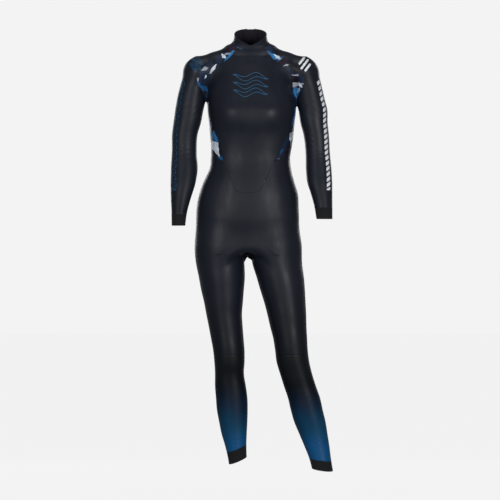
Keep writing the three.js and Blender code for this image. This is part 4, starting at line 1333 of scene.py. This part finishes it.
BAND_SHARDS = {
    Side.RIGHT: (
        Shard(Tone.BRIGHT, -66, -38, 54, 20, 40, 0.7), Shard(Tone.BLUE, -58, -32, 43, 13, 20),
        Shard(Tone.PALE, -87, -35, 26, 12, -48), Shard(Tone.GREY, -77, -30, 32, 7, 12),
        Shard(Tone.GREY, -147, -78, 28, 13, 22), Shard(Tone.PALE, -119, -77, 41, 10, 52, 0.1),
        Shard(Tone.GREY, -114, -84, 35, 12, 24, -0.5), Shard(Tone.PALE, -143, -103, 15, 6, 68),
        Shard(Tone.GREY, -167, -112, 16, 7, 82), Shard(Tone.BLUE, -149, -138, 35, 19, -28, 0.1),
        Shard(Tone.BLUE, -166, -121, 24, 10, -60), Shard(Tone.DEEP, -128, -108, 65, 29, -50),
        Shard(Tone.DEEP, -105, -60, 50, 23, 60), Shard(Tone.DEEP, -141, -158, 65, 23, 86),
        Shard(Tone.DEEP, -131, -208, 71, 20, 98), Shard(Tone.BLUE, -128, -262, 45, 12, 96),
        Shard(Tone.BRIGHT, -112, -292, 43, 22, 106, 0.1), Shard(Tone.BLUE, -108, -306, 37, 17, 62),
        Shard(Tone.PALE, -110, -331, 58, 29, -66, -0.5), Shard(Tone.BLUE, -98, -357, 50, 12, -60),
        Shard(Tone.GREY, -132, -240, 22, 6, 80), Shard(Tone.DEEP, -122, -320, 48, 17, 84),
    ),
    Side.LEFT: (
        Shard(Tone.BRIGHT, 68, -33, 45, 17, -38, 0.7), Shard(Tone.PALE, 83, -37, 28, 10, -30),
        Shard(Tone.BLUE, 92, -47, 32, 10, 42), Shard(Tone.GREY, 88, -44, 22, 7, -8),
        Shard(Tone.GREY, 112, -66, 22, 7, 18), Shard(Tone.DEEP, 118, -84, 58, 23, -44),
        Shard(Tone.GREY, 140, -97, 28, 7, -4, 0.7), Shard(Tone.GREY, 151, -126, 45, 16, 4, -0.7),
        Shard(Tone.PALE, 158, -128, 22, 9, -56), Shard(Tone.BRIGHT, 145, -152, 39, 28, 94),
        Shard(Tone.DEEP, 160, -106, 48, 20, -64), Shard(Tone.DEEP, 140, -184, 54, 23, 84),
        Shard(Tone.GREY, 152, -145, 24, 7, 60), Shard(Tone.BLUE, 141, -214, 37, 10, 84),
        Shard(Tone.PALE, 129, -228, 39, 6, 72), Shard(Tone.BRIGHT, 139, -246, 48, 13, 86),
        Shard(Tone.BLUE, 117, -262, 58, 12, 56, 0.7), Shard(Tone.BLUE, 131, -250, 54, 9, 70),
        Shard(Tone.GREY, 130, -290, 32, 17, 62), Shard(Tone.PALE, 127, -302, 19, 7, 100),
        Shard(Tone.BLUE, 98, -340, 22, 7, 58), Shard(Tone.DEEP, 92, -348, 67, 19, 60),
        Shard(Tone.DEEP, 112, -312, 60, 22, 64), Shard(Tone.GREY, 88, -366, 13, 4, 62),
    ),
}


def shard_fields(side: Side) -> dict[str, Callable[[Array], Array]]:
    """One stored value for each ink of a band: the deepest of that ink's kites."""

    def worked_out(tone: Tone) -> Callable[[Array], Array]:
        """The stored value of one ink."""
        mine = [shard for shard in BAND_SHARDS[side] if shard.tone is tone]
        return lambda p: np.max([shard.field(p) for shard in mine] + [np.full(len(p), -50.0)], axis=0)

    return {tone.value: worked_out(tone) for tone in Tone}


def wave_mark(p: Array) -> Array:
    """Millimetres inside the nearest of three stacked wave ribbons on the chest."""
    x = p[:, 0]
    total = np.full(len(p), -60.0)
    for k, half in enumerate((56.0, 56.0, 56.0)):
        middle = -103 - 25 * k + 7 * np.sin(2 * math.pi * x / 74)
        slope = 7 * 2 * math.pi / 74 * np.cos(2 * math.pi * x / 74)
        thick = 7.5 * (1 - (x / half) ** 2)
        inside = (thick - np.abs(p[:, 2] - middle)) / np.sqrt(1 + slope**2)
        inside = np.where(np.abs(x) > half + 3, -60.0, inside)
        total = np.maximum(total, inside)
    return np.where(p[:, 1] < 0, total, -60.0)


def arm_place(side: Side, p: Array) -> tuple[Array, Array]:
    """Distance round the arm from its outermost line towards the front, and its height."""
    cx, cy, half, _, _ = ARMS[side].at(p[:, 2]).T
    turn = np.arctan2(-(p[:, 1] - cy), side.value * (p[:, 0] - cx))
    return turn * half, p[:, 2]


def slant_bars(across: Array, z: Array, top: float, foot: float, pitch: float, solid: float) -> Array:
    """Millimetres inside a ladder of slanting bars.

    Args:
        across: distance across the ladder, zero at its middle.
        z: height.
        top: height where the ladder starts.
        foot: height where it ends.
        pitch: distance from one bar to the next.
        solid: height of each bar.

    Returns:
        One value for each point, above zero inside a bar.
    """
    shifted = z + 0.55 * across
    wave = np.abs((shifted - top) % pitch - pitch / 2)
    bar = solid / 2 - wave
    edge = np.minimum(top - z, z - foot)
    return np.minimum(np.minimum(bar, 7.5 - np.abs(across)), edge)


def sleeve_marks(side: Side) -> Callable[[Array], Array]:
    """Stored value of a sleeve's marks: a ladder down the arm and slanting bars on the shoulder."""
    s = side.value

    def field(p: Array) -> Array:
        """Millimetres inside the nearest mark."""
        round_arm, z = arm_place(side, p)
        ladder = slant_bars(round_arm - 31, z, -112, -462, 17.0 if side is Side.LEFT else 20.0, 11.5)
        ladder = np.where(z > -90, -40.0, ladder)
        x = p[:, 0] * s
        a = (x - 172) * 0.8 - (z + 62) * 0.6
        b = (x - 172) * 0.6 + (z + 62) * 0.8
        total = ladder
        for k, half in enumerate((15.0, 20.0, 15.0)):
            bar = np.minimum(half - np.abs(b + 3 * (k - 1)), 3.4 - np.abs(a - 14 * (k - 1)))
            total = np.maximum(total, np.where(p[:, 1] < 12, bar, -40.0))
        return total

    return field


# ---- Panels -----------------------------------------------------------------------------


@dataclass
class Torso:
    """Chest shield, printed bands and back panels."""

    wardrobe: Wardrobe
    thickness: float = 3.0

    def build(self) -> None:
        """Builds all the panels above the waist."""
        self.chest()
        for side in Side:
            self.band(side)
            self.back(side)

    def chest(self) -> None:
        """The shield from the collar to its curved foot, with its ribbon mark."""
        per = 8
        starts = SEAMS[Side.RIGHT].shield_edge(per)
        ends = SEAMS[Side.LEFT].shield_edge(per)
        z = np.minimum((starts[:, 2] + ends[:, 2]) / 2, -45)
        steps = refine(tuple(even(8)), 14)
        foot_shares = refine(FOUR, 14)
        fan = Fan(
            starts, ends, np.stack([mid_x(z), np.zeros(len(z)), z], axis=1), FRONT, point(-1, 0, 0), steps,
            first=on_base(mix(-BASE_CHEST, BASE_CHEST, steps)),
            last=join(SEAMS[Side.RIGHT].foot.at(foot_shares), SEAMS[Side.LEFT].foot.at(foot_shares)[::-1]),
            fade=4 / 22,
        )
        piece = Skin("chest_shield", [fan.grid()], self.thickness).build({"mark_line": wave_mark})
        dress(piece, self.wardrobe.chest, self.wardrobe.lining)
        settle_in(piece, "suit", "smoothskin", "chest_panel")

    def band(self, side: Side) -> None:
        """A printed band from the collar past the arm to its pointed tail."""
        per = 18
        seams = SEAMS[side]
        inner = seams.print_edge(per)
        outer = seams.print_outer(per)
        steps = even(40)
        grid = BODY.settle(mix(inner[:, None], outer[:, None], steps[None, :, None]))
        grid[:, 0] = inner
        grid[:, -1] = outer
        grid[0] = on_base(mix(BASE_CHEST, BASE_PRINT, steps) * side.value)
        grid[-1] = seams.tip
        piece = Skin(f"printed_band_{side.word}", [grid], self.thickness).build(shard_fields(side))
        dress(piece, self.wardrobe.printed, self.wardrobe.lining)
        settle_in(piece, "suit", "printed_smoothskin", f"side_panel_{side.word}")

    def back(self, side: Side) -> None:
        """A back panel from the zip to the raglan and side seams."""
        s = side.value
        per = 9
        seams = SEAMS[side]
        ends = seams.back_side(seams.raglan_back, per)
        top = on_base(BASE_ZIP * s)
        foot = seams.waist_back.ends[1]
        knots = np.concatenate([[top[2], -8], np.linspace(-26, -394, 13), [foot[2]]])
        across = np.concatenate([[top[0]], np.full(14, 9.0 * s), [foot[0]]])
        u = np.linspace(0, 15, len(ends))
        starts = on_back(np.interp(u, np.arange(16), across), np.interp(u, np.arange(16), knots))
        starts[0] = top
        starts[-1] = foot
        z = np.minimum((starts[:, 2] + ends[:, 2]) / 2, -40)
        steps = refine((0, 0.07, 0.17, 0.29, 0.41, 0.53, 0.65, 0.77, 0.89, 1), 8)
        spine = np.stack([np.zeros(len(z)), np.zeros(len(z)), z], axis=1)
        fan = Fan(
            starts, ends, spine, REAR, point(s, 0, 0), steps,
            first=on_base(mix(BASE_ZIP, BASE_RAGLAN, steps) * s),
            last=seams.waist_back.at(refine(tuple(even(9)), 8))[::-1],
            fade=3 / 15,
        )
        piece = Skin(f"back_half_{side.word}", [fan.grid()], self.thickness).build()
        dress(piece, self.wardrobe.smooth, self.wardrobe.lining)
        settle_in(piece, "suit", "smoothskin", f"back_panel_{side.word}")
        line = on_back(13.0 * s, np.linspace(-20, -396, 120))
        sewn = stitches(f"zip_stitch_{side.word}", line, np.broadcast_to(REAR, line.shape), 3.6, 2.6, 0.28)
        settle_in(dress(sewn, self.wardrobe.thread), "suit", "knit")


@dataclass
class Legs:
    """Hips, thighs, shins and ankle cuffs."""

    wardrobe: Wardrobe
    thickness: float = 3.0
    cuff_thickness: float = 2.0
    hip_rows: int = 8
    thigh_rows: int = 6
    per: int = 12

    def middle_line(self, start: Array, facing: int) -> Array:
        """Points down the middle of the body, from a start point under to the crotch."""
        n = self.hip_rows * self.per
        t = even(n)
        pivot = -575.0
        straight = 0.42
        z = mix(start[2], pivot, np.minimum(t / straight, 1))
        turn = np.clip((t - straight) / (1 - straight), 0, 1) * (math.pi / 2)
        upper = t < straight
        origin = np.stack([
            np.where(upper, mid_x(z), -8.0),
            np.where(upper, 0.0, 12 * np.sin(turn)),
            np.where(upper, z, pivot),
        ], axis=1)
        aim = np.stack([np.zeros(n + 1), facing * np.cos(turn), -np.sin(turn)], axis=1)
        line = BODY.cast(origin, aim)
        line[0] = start
        line[-1] = CROTCH
        return line

    def build(self) -> None:
        """Builds everything below the waist seams."""
        rows = self.hip_rows + self.thigh_rows
        u = np.linspace(0, rows, rows * self.per + 1)
        hips = u <= self.hip_rows
        into_leg = np.clip(u - self.hip_rows, 0, 1)[:, None]
        z = np.interp(u, [0, self.hip_rows, rows], [WAIST_SIDE_Z, CROTCH_SIDE_Z, KNEE_SEAM_Z])
        inner_z = np.interp(
            u, [self.hip_rows, self.hip_rows + 1, rows],
            [CROTCH[2], mix(CROTCH_SIDE_Z, KNEE_SEAM_Z, 1 / self.thigh_rows), KNEE_SEAM_Z],
        )
        front_grids = []
        for side in Side:
            seams = SEAMS[side]
            s = side.value
            level = np.zeros((len(u), 2))
            centre, ring_outer, _, _, _ = leg_rings(side, z, level)
            _, _, ring_inner, _, _ = leg_rings(side, inner_z, level)
            outer = BODY.settle(mix(side_line(s, z), ring_outer, into_leg))
            outer[0] = seams.waist
            share = np.clip(u / self.hip_rows, 0, 1)
            leg_x = LEGS[side].at(np.array([CROTCH_SIDE_Z]))[0, 0]
            hip = np.stack([mix(60 * s, leg_x, share), np.full(len(u), 2.0), z + mix(-40, 36, share)], axis=1)
            origins = mix(hip, centre, into_leg)
            knees = []
            for facing, first, count in (
                (-1, seams.hip_top(6), 11 * 6), (1, seams.waist_back.at(refine(NINE, 8)), 9 * 8),
            ):
                start = SHIELD_FOOT if facing < 0 else seams.waist_back.ends[1]
                inner = np.concatenate([self.middle_line(start, facing), ring_inner[~hips]])
                fan = Fan(outer, inner, origins, point(0, facing, 0), point(s, 0, 0), even(count),
                          first=first, fade=self.hip_rows / rows)
                grid = fan.grid()
                knees.append(grid[-1])
                if facing < 0:
                    front_grids.append(grid)
                else:
                    piece = Skin(f"seat_and_thigh_{side.word}", [grid], self.thickness).build()
                    dress(piece, self.wardrobe.smooth, self.wardrobe.lining)
                    settle_in(piece, "suit", "smoothskin", f"seat_panel_{side.word}")
            self.shin(side, join(knees[0], knees[1][::-1]))
        piece = Skin("hip_and_thigh_front", front_grids, self.thickness).build()
        dress(piece, self.wardrobe.smooth, self.wardrobe.lining)
        settle_in(piece, "suit", "smoothskin", "hip_panel_front")

    def whole_rings(self, side: Side, z: Array, tilt: Array) -> Array:
        """Whole rings of a leg, each from its outermost point round the front and back again."""
        o, outer, inner, e1, e2 = leg_rings(side, z, tilt)
        front = Fan(outer, inner, o, e1, e2, even(66)).grid()
        rear = Fan(outer, inner, o, -e1, e2, even(72)).grid()
        return np.concatenate([front, rear[:, ::-1][:, 1:]], axis=1)

    def shin(self, side: Side, knee: Array) -> None:
        """A shin panel and its ankle cuff."""
        seam_z, hem_z, tilt = {
            Side.RIGHT: (-1283.0, -1322.0, point(0.4, 0.12)),
            Side.LEFT: (-1318.0, -1351.0, point(-0.12, 0.12)),
        }[side]
        t = even(70)
        rows = self.whole_rings(side, mix(KNEE_SEAM_Z, seam_z, t), t[:, None] * tilt)
        rows[0] = knee
        piece = Skin(f"shin_{side.word}", [rows], self.thickness).build()
        dress(piece, self.wardrobe.graded, self.wardrobe.lining)
        settle_in(piece, "suit", "graded_smoothskin", f"shin_panel_{side.word}")
        cuff_z = np.linspace(seam_z, hem_z, 11)
        cuff_rows = self.whole_rings(side, cuff_z, np.broadcast_to(tilt, (11, 2)))
        cuff = Skin(f"ankle_band_{side.word}", [cuff_rows], self.cuff_thickness, bevel=0.6).build()
        dress(cuff, self.wardrobe.knit, self.wardrobe.lining)
        settle_in(cuff, "suit", "knit", f"ankle_cuff_{side.word}")
        line = self.whole_rings(side, np.array([hem_z + 5]), tilt[None])[0]
        sewn = stitches(f"ankle_hem_stitch_{side.word}", line, BODY.outward(line), 3.2, 2.3, 0.26)
        settle_in(dress(sewn, self.wardrobe.thread), "suit", "knit")


@dataclass
class Sleeves:
    """Sleeves from the raglan seams to the wrist cuffs."""

    wardrobe: Wardrobe
    thickness: float = 2.2
    cuff_thickness: float = 2.0
    cuff_height: float = 37.0

    def arm_rings(self, side: Side, z: Array) -> Array:
        """Rings of an arm, each starting and ending on the line under it."""
        s = side.value
        o = np.concatenate([ARMS[side].at(z)[:, :2], z[:, None]], axis=1)
        under = BODY.cast(o, point(-s, 0.04, 0))
        return Fan(under, under, o, point(s, 0, 0), FRONT, even(84)).grid()

    def build(self) -> None:
        """Builds both sleeves and their cuffs."""
        for side in Side:
            s = side.value
            seams = SEAMS[side]
            per = 10
            fronts = seams.raglan_front.at(refine(RAGLAN_SHARES, per))
            backs = seams.raglan_back.at(refine(RAGLAN_SHARES, per))
            arm = ARMS[side].at(np.array([seams.armpit[2]]))[0]
            centre = Seam([
                point(78 * s, 12, -52), point(105 * s, 12, -62), point(140 * s, 11, -78),
                point(168 * s, 10, -104), point(184 * s, 10, -146), point(arm[0], arm[1], seams.armpit[2]),
            ])
            t = np.linspace(0, 1, len(fronts))
            samples = np.arange(len(centre.line))
            where = t * samples[-1]
            origins = np.stack([np.interp(where, samples, centre.line[:, k]) for k in range(3)], axis=1)
            lean = (1 - t) ** 1.2 * 1.3
            e1 = np.stack([s * np.cos(lean), np.zeros(len(t)), np.sin(lean)], axis=1)
            steps = even(84)
            shoulder = Fan(
                fronts, backs, origins, e1, FRONT, steps,
                first=on_base(mix(BASE_PRINT, BASE_RAGLAN, steps) * s), fade=3 / 9,
            ).grid()
            seam_z = -538.0 if side is Side.RIGHT else -517.0
            rows = self.arm_rings(side, np.linspace(seams.armpit[2], seam_z, 96)[1:])
            grid = np.concatenate([shoulder, rows])
            marks = sleeve_marks(side)
            piece = Skin(f"sleeve_skin_{side.word}", [grid], self.thickness).build(
                {"mark_line": marks, "mark_fill": marks}
            )
            look = self.wardrobe.sleeve_right if side is Side.RIGHT else self.wardrobe.sleeve_left
            dress(piece, look, self.wardrobe.lining)
            settle_in(piece, "suit", "smoothskin", f"sleeve_{side.word}")
            hem = seam_z - self.cuff_height
            cuff_rows = self.arm_rings(side, np.linspace(seam_z, hem, 12))
            cuff = Skin(f"wrist_band_{side.word}", [cuff_rows], self.cuff_thickness, bevel=0.6).build()
            dress(cuff, self.wardrobe.knit, self.wardrobe.lining)
            settle_in(cuff, "suit", "knit", f"wrist_cuff_{side.word}")
            line = self.arm_rings(side, np.array([hem + 5]))[0]
            sewn = stitches(f"wrist_hem_stitch_{side.word}", line, BODY.outward(line), 3.2, 2.3, 0.26)
            settle_in(dress(sewn, self.wardrobe.thread), "suit", "knit")


@dataclass
class Collar:
    """Stand collar with its lining, closing flap and the two patches under the flap."""

    wardrobe: Wardrobe
    thickness: float = 2.4
    lining: float = 0.8
    flap: float = 2.2
    patch: float = 0.9
    clearance: float = 0.6

    def band(self, turns: Array, low: float, high: float, rows: int) -> Array:
        """A grid round the neck between the base seam and the rim, drawn in by two margins."""
        t = even(rows)[:, None]
        z = mix(base_height(turns)[None] + low, rim_height(turns)[None] - high, t)
        return on_neck(np.broadcast_to(turns, z.shape), z)

    def level_out(self, p: Array) -> Array:
        """Level directions away from the neck's axis."""
        return unit(np.stack([p[:, 0], p[:, 1] - 8, np.zeros(len(p))], axis=1))

    def build(self) -> None:
        """Builds the collar, its lining and its closure."""
        turns = np.linspace(-COLLAR_END, COLLAR_END, 181)
        stand = self.band(turns, 0.3, 0, 14)
        collar = Skin("stand_collar", [stand], self.thickness, bevel=0.9, relief=False).build()
        dress(collar, self.wardrobe.smooth, self.wardrobe.lining)
        settle_in(collar, "suit", "smoothskin", "collar")
        inside = Skin(
            "collar_inner", [self.band(turns, 2.5, 1.2, 10)], self.lining,
            lift=-self.thickness - self.clearance, bevel=0.25, relief=False,
        ).build()
        dress(inside, self.wardrobe.lining, self.wardrobe.lining)
        settle_in(inside, "suit", "lining", "collar_lining")
        self.closure()
        self.piping()

    def closure(self) -> None:
        """The flap across the back opening, with hooks under it and loops on the collar."""
        stack = 3 * self.clearance + 2 * self.patch
        root = 180 - math.degrees(math.asin(20 / 66))
        turns = np.linspace(root, 224, 40)

        def rise(p: Array) -> Array:
            """How far the flap lies out, easing from its root onto the patches."""
            share = np.clip((14 - p[:, 0]) / 26, 0, 1)
            return mix(self.clearance, stack, share) + self.flap

        grid = self.band(turns, 6, 1.5, 12)
        flap = Skin(
            "closing_flap", [grid], self.flap, lift=rise, direction=self.level_out, bevel=0.7, relief=False
        ).build()
        dress(flap, self.wardrobe.smooth, self.wardrobe.lining)
        settle_in(flap, "flap", "smoothskin", "collar_flap")
        edge = np.concatenate([grid[1, :-2], grid[1:-1, -3], grid[-2, -4::-1]])
        out = self.level_out(edge)
        edge = edge + out * rise(edge)[:, None]
        sewn = stitches("flap_stitch", edge, out, 3.0, 2.1, 0.25)
        settle_in(dress(sewn, self.wardrobe.thread), "flap", "knit")
        hooks = Skin(
            "hook_pad", [self.band(np.linspace(198, 220, 20), 10, 8, 10)], self.patch,
            lift=stack - self.clearance, direction=self.level_out, bevel=0.2, relief=False,
        ).build()
        dress(hooks, self.wardrobe.hooks, self.wardrobe.hooks)
        settle_in(hooks, "flap", "knit", "flap_hook_patch")
        loops = Skin(
            "loop_pad", [self.band(np.linspace(198, 228, 28), 8, 6, 12)], self.patch,
            lift=self.clearance + self.patch, direction=self.level_out, bevel=0.2, relief=False,
        ).build()
        dress(loops, self.wardrobe.loops, self.wardrobe.loops)
        settle_in(loops, "suit", "knit", "collar_loop_patch")

    def piping(self) -> None:
        """The fine blue line along part of the collar's base seam."""
        turns = np.linspace(-66, -22, 50)
        line = on_base(turns)
        fade = np.sin(np.linspace(0, math.pi, 50)) ** 0.25
        raised = line + BODY.outward(line) * 0.25
        points, faces = tube(raised, 0.75 * np.maximum(fade, 0.05), 8, point(0, 0, 1))
        piece = solid_mesh("collar_line", points, faces)
        settle_in(dress(piece, self.wardrobe.piping), "suit", "smoothskin")


@dataclass
class BackZip:
    """Back zip: two coils on woven tapes, an underlay, a slider with its tab, and stops."""

    wardrobe: Wardrobe
    top: float = -36.0
    foot: float = -390.0
    inner: float = 0.5
    outer: float = 4.6
    coil_thickness: float = 2.5
    pitch: float = 1.7

    def line_y(self, z: Array | float) -> Array:
        """How far back the suit's centre-back line is at heights."""
        return 90.6 + (90.6 - 82.1) / (397 - 35) * (np.asarray(z, float) + 35)

    def build(self) -> None:
        """Builds the zip."""
        flat = lambda p: np.broadcast_to(REAR, p.shape)
        heights = np.linspace(self.top + 8, self.foot - 6, 60)
        for side in Side:
            s = side.value
            columns = np.linspace(self.inner, 15, 10) * s
            tape = on_back(columns[None, :], heights[:, None])
            piece = Skin(f"zip_ribbon_{side.word}", [tape], 0.8, lift=-3.6, gap=0, relief=False,
                         direction=flat, bevel=0.15).build()
            dress(piece, self.wardrobe.tape, self.wardrobe.tape)
            settle_in(piece, "suit", "knit", f"zip_tape_{side.word}")
            self.coil(side)
        columns = np.linspace(-31, 31, 32)
        z = np.linspace(50, self.foot - 12, 90)
        nape = np.clip((z + 34) / 20, 0, 1)[:, None]
        skin = on_back(columns[None, :] * mix(1, 0.8, nape), z[:, None])
        facing = unit(mix(REAR, BODY.outward(skin.reshape(-1, 3)).reshape(skin.shape), nape[..., None]))
        share = np.clip((np.abs(columns) - 18) / 7, 0, 1)
        depth = mix(mix(7.6, 3.9, share * share * (3 - 2 * share))[None, :], 6.0, nape)
        under = skin - facing * depth[..., None]
        piece = Skin("zip_guard", [under], 1.2, gap=0, relief=False, bevel=0.2,
                     direction=self.guard_facing).build()
        dress(piece, self.wardrobe.lining, self.wardrobe.lining)
        settle_in(piece, "suit", "knit", "zip_underlay")
        self.hardware()

    def guard_facing(self, p: Array) -> Array:
        """Directions out of the guard: straight back along the zip, and out of the neck above it."""
        nape = np.clip((p[:, 2] + 34) / 20, 0, 1)[:, None]
        return unit(mix(REAR, BODY.outward(p), nape))

    def coil(self, side: Side) -> None:
        """One half of the chain: a flattened spiral of round nylon."""
        s = side.value
        turns = (self.top - self.foot) / self.pitch
        t = np.linspace(0, turns, int(turns * 12))
        phase = 2 * math.pi * t
        z = self.top - self.pitch * t
        radius = 0.42
        half_x = (self.outer - self.inner) / 2 - radius
        half_y = self.coil_thickness / 2 - radius
        lift = self.coil_thickness / 2 - 3.25
        x = s * ((self.outer + self.inner) / 2 + half_x * np.cos(phase))
        y = self.line_y(z) + lift + half_y * np.sin(phase)
        points, faces = tube(np.stack([x, y, z], axis=1), radius, 5, point(0, 0, 1))
        piece = solid_mesh(f"coil_{side.word}", points, faces)
        settle_in(dress(piece, self.wardrobe.coil), "suit", "coil_plastic", f"zip_coil_{side.word}")

    def hardware(self) -> None:
        """Dresses the slider, its staple, its tab and the stops, whose shapes the frame has."""
        for node in ("zip_slider_body", "zip_slider_bridge", "zip_pull_tab", "zip_bottom_stop",
                     "zip_top_stop_right", "zip_top_stop_left"):
            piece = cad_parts[node]
            weld = piece.modifiers.new("weld", "WELD")
            weld.merge_threshold = 0.00001
            edge = piece.modifiers.new("edge", "BEVEL")
            edge.width = 0.00022
            edge.segments = 3
            edge.limit_method = "ANGLE"
            edge.angle_limit = math.radians(35)
            dress(piece, self.wardrobe.metal)


# ---- Stage ------------------------------------------------------------------------------


@dataclass
class Studio:
    """Pale floor, soft lights and the camera."""

    floor_z: float = -1.447
    paper: float = 0.896
    distance: float = 20.0
    view_width: float = 1.59
    aim: Colour = (-0.0016, 0.0, -0.652)

    def build(self) -> None:
        """Sets the stage."""
        bpy.context.scene.view_settings.view_transform = "Standard"
        self.floor()
        self.world()
        self.lights()
        self.camera()

    def floor(self) -> None:
        """A wide disc of pale paper, made of rings about the object."""
        turn = np.linspace(0, 2 * math.pi, 96, endpoint=False)
        radii = np.array([2.0, 8.0, 40.0])
        rings = np.stack([radii[:, None] * np.cos(turn), radii[:, None] * np.sin(turn),
                          np.full((3, 96), self.floor_z)], axis=-1).reshape(-1, 3)
        points = np.concatenate([rings, [[0, 0, self.floor_z]]]) / MM
        j = np.arange(96)
        k = (j + 1) % 96
        faces = [[96 * 3, int(a), int(b)] for a, b in zip(j, k)]
        for ring in range(2):
            inner = ring * 96
            outer = inner + 96
            faces += [[inner + a, outer + a, outer + b, inner + b] for a, b in zip(j, k)]
        floor = solid_mesh("floor", points, faces)
        n = Nodes("floor_paper")
        n.shader.inputs["Emission Color"].default_value = (1, 1, 1.0, 1)
        n.shader.inputs["Emission Strength"].default_value = self.paper - 0.02
        dress(floor, n.finish((0.03, 0.03, 0.03, 1), 0.95, specular_ior_level=0.0))
        floor.visible_diffuse = False
        floor.visible_glossy = False

    def world(self) -> None:
        """Even pale surroundings, which light the suit only faintly."""
        world = bpy.data.worlds.new("studio")
        bpy.context.scene.world = world
        world.use_nodes = True
        tree = world.node_tree
        tree.nodes.clear()
        seen = tree.nodes.new("ShaderNodeBackground")
        seen.inputs[0].default_value = (self.paper, self.paper, self.paper, 1)
        felt = tree.nodes.new("ShaderNodeBackground")
        felt.inputs[0].default_value = (0.17, 0.18, 0.20, 1)
        path = tree.nodes.new("ShaderNodeLightPath")
        mixer = tree.nodes.new("ShaderNodeMixShader")
        out = tree.nodes.new("ShaderNodeOutputWorld")
        tree.links.new(path.outputs["Is Camera Ray"], mixer.inputs[0])
        tree.links.new(felt.outputs[0], mixer.inputs[1])
        tree.links.new(seen.outputs[0], mixer.inputs[2])
        tree.links.new(mixer.outputs[0], out.inputs[0])

    def lights(self) -> None:
        """Large soft boxes: two in front, a weaker one behind and one above."""
        aim = Vector(self.aim)
        for name, place, size, power in (
            ("key", (-1.6, -3.4, -0.25), 1.8, 56.0),
            ("fill", (1.7, -3.3, -0.40), 1.8, 74.0),
            ("top", (0.0, -0.6, 2.4), 1.6, 22.0),
            ("back_left", (1.6, 3.4, 0.3), 1.6, 26.0),
            ("back_right", (-1.6, 3.4, 0.0), 1.6, 26.0),
        ):
            data = bpy.data.lights.new(name, "AREA")
            data.shape = "DISK"
            data.size = size
            data.energy = power
            lamp = bpy.data.objects.new(name, data)
            lamp.location = place
            lamp.rotation_euler = (aim - Vector(place)).to_track_quat("-Z", "Y").to_euler()
            lamp.visible_camera = False
            bpy.context.scene.collection.objects.link(lamp)

    def camera(self) -> None:
        """A long lens, level with the middle of the suit and square to its front."""
        data = bpy.data.cameras.new("camera")
        data.sensor_width = 36
        data.lens = 36 * self.distance / self.view_width
        data.clip_end = 100
        camera = bpy.data.objects.new("camera", data)
        camera.location = (self.aim[0], -self.distance, self.aim[2])
        camera.rotation_euler = (math.pi / 2, 0, 0)
        bpy.context.scene.collection.objects.link(camera)
        bpy.context.scene.camera = camera


def main() -> None:
    """Builds the suit piece by piece and sets the stage."""
    logging.basicConfig(level=logging.INFO, format="%(name)s %(message)s")
    Studio().build()
    wardrobe = Wardrobe()
    Torso(wardrobe).build()
    Legs(wardrobe).build()
    Sleeves(wardrobe).build()
    Collar(wardrobe).build()
    BackZip(wardrobe).build()


if __name__ == "__main__":
    main()
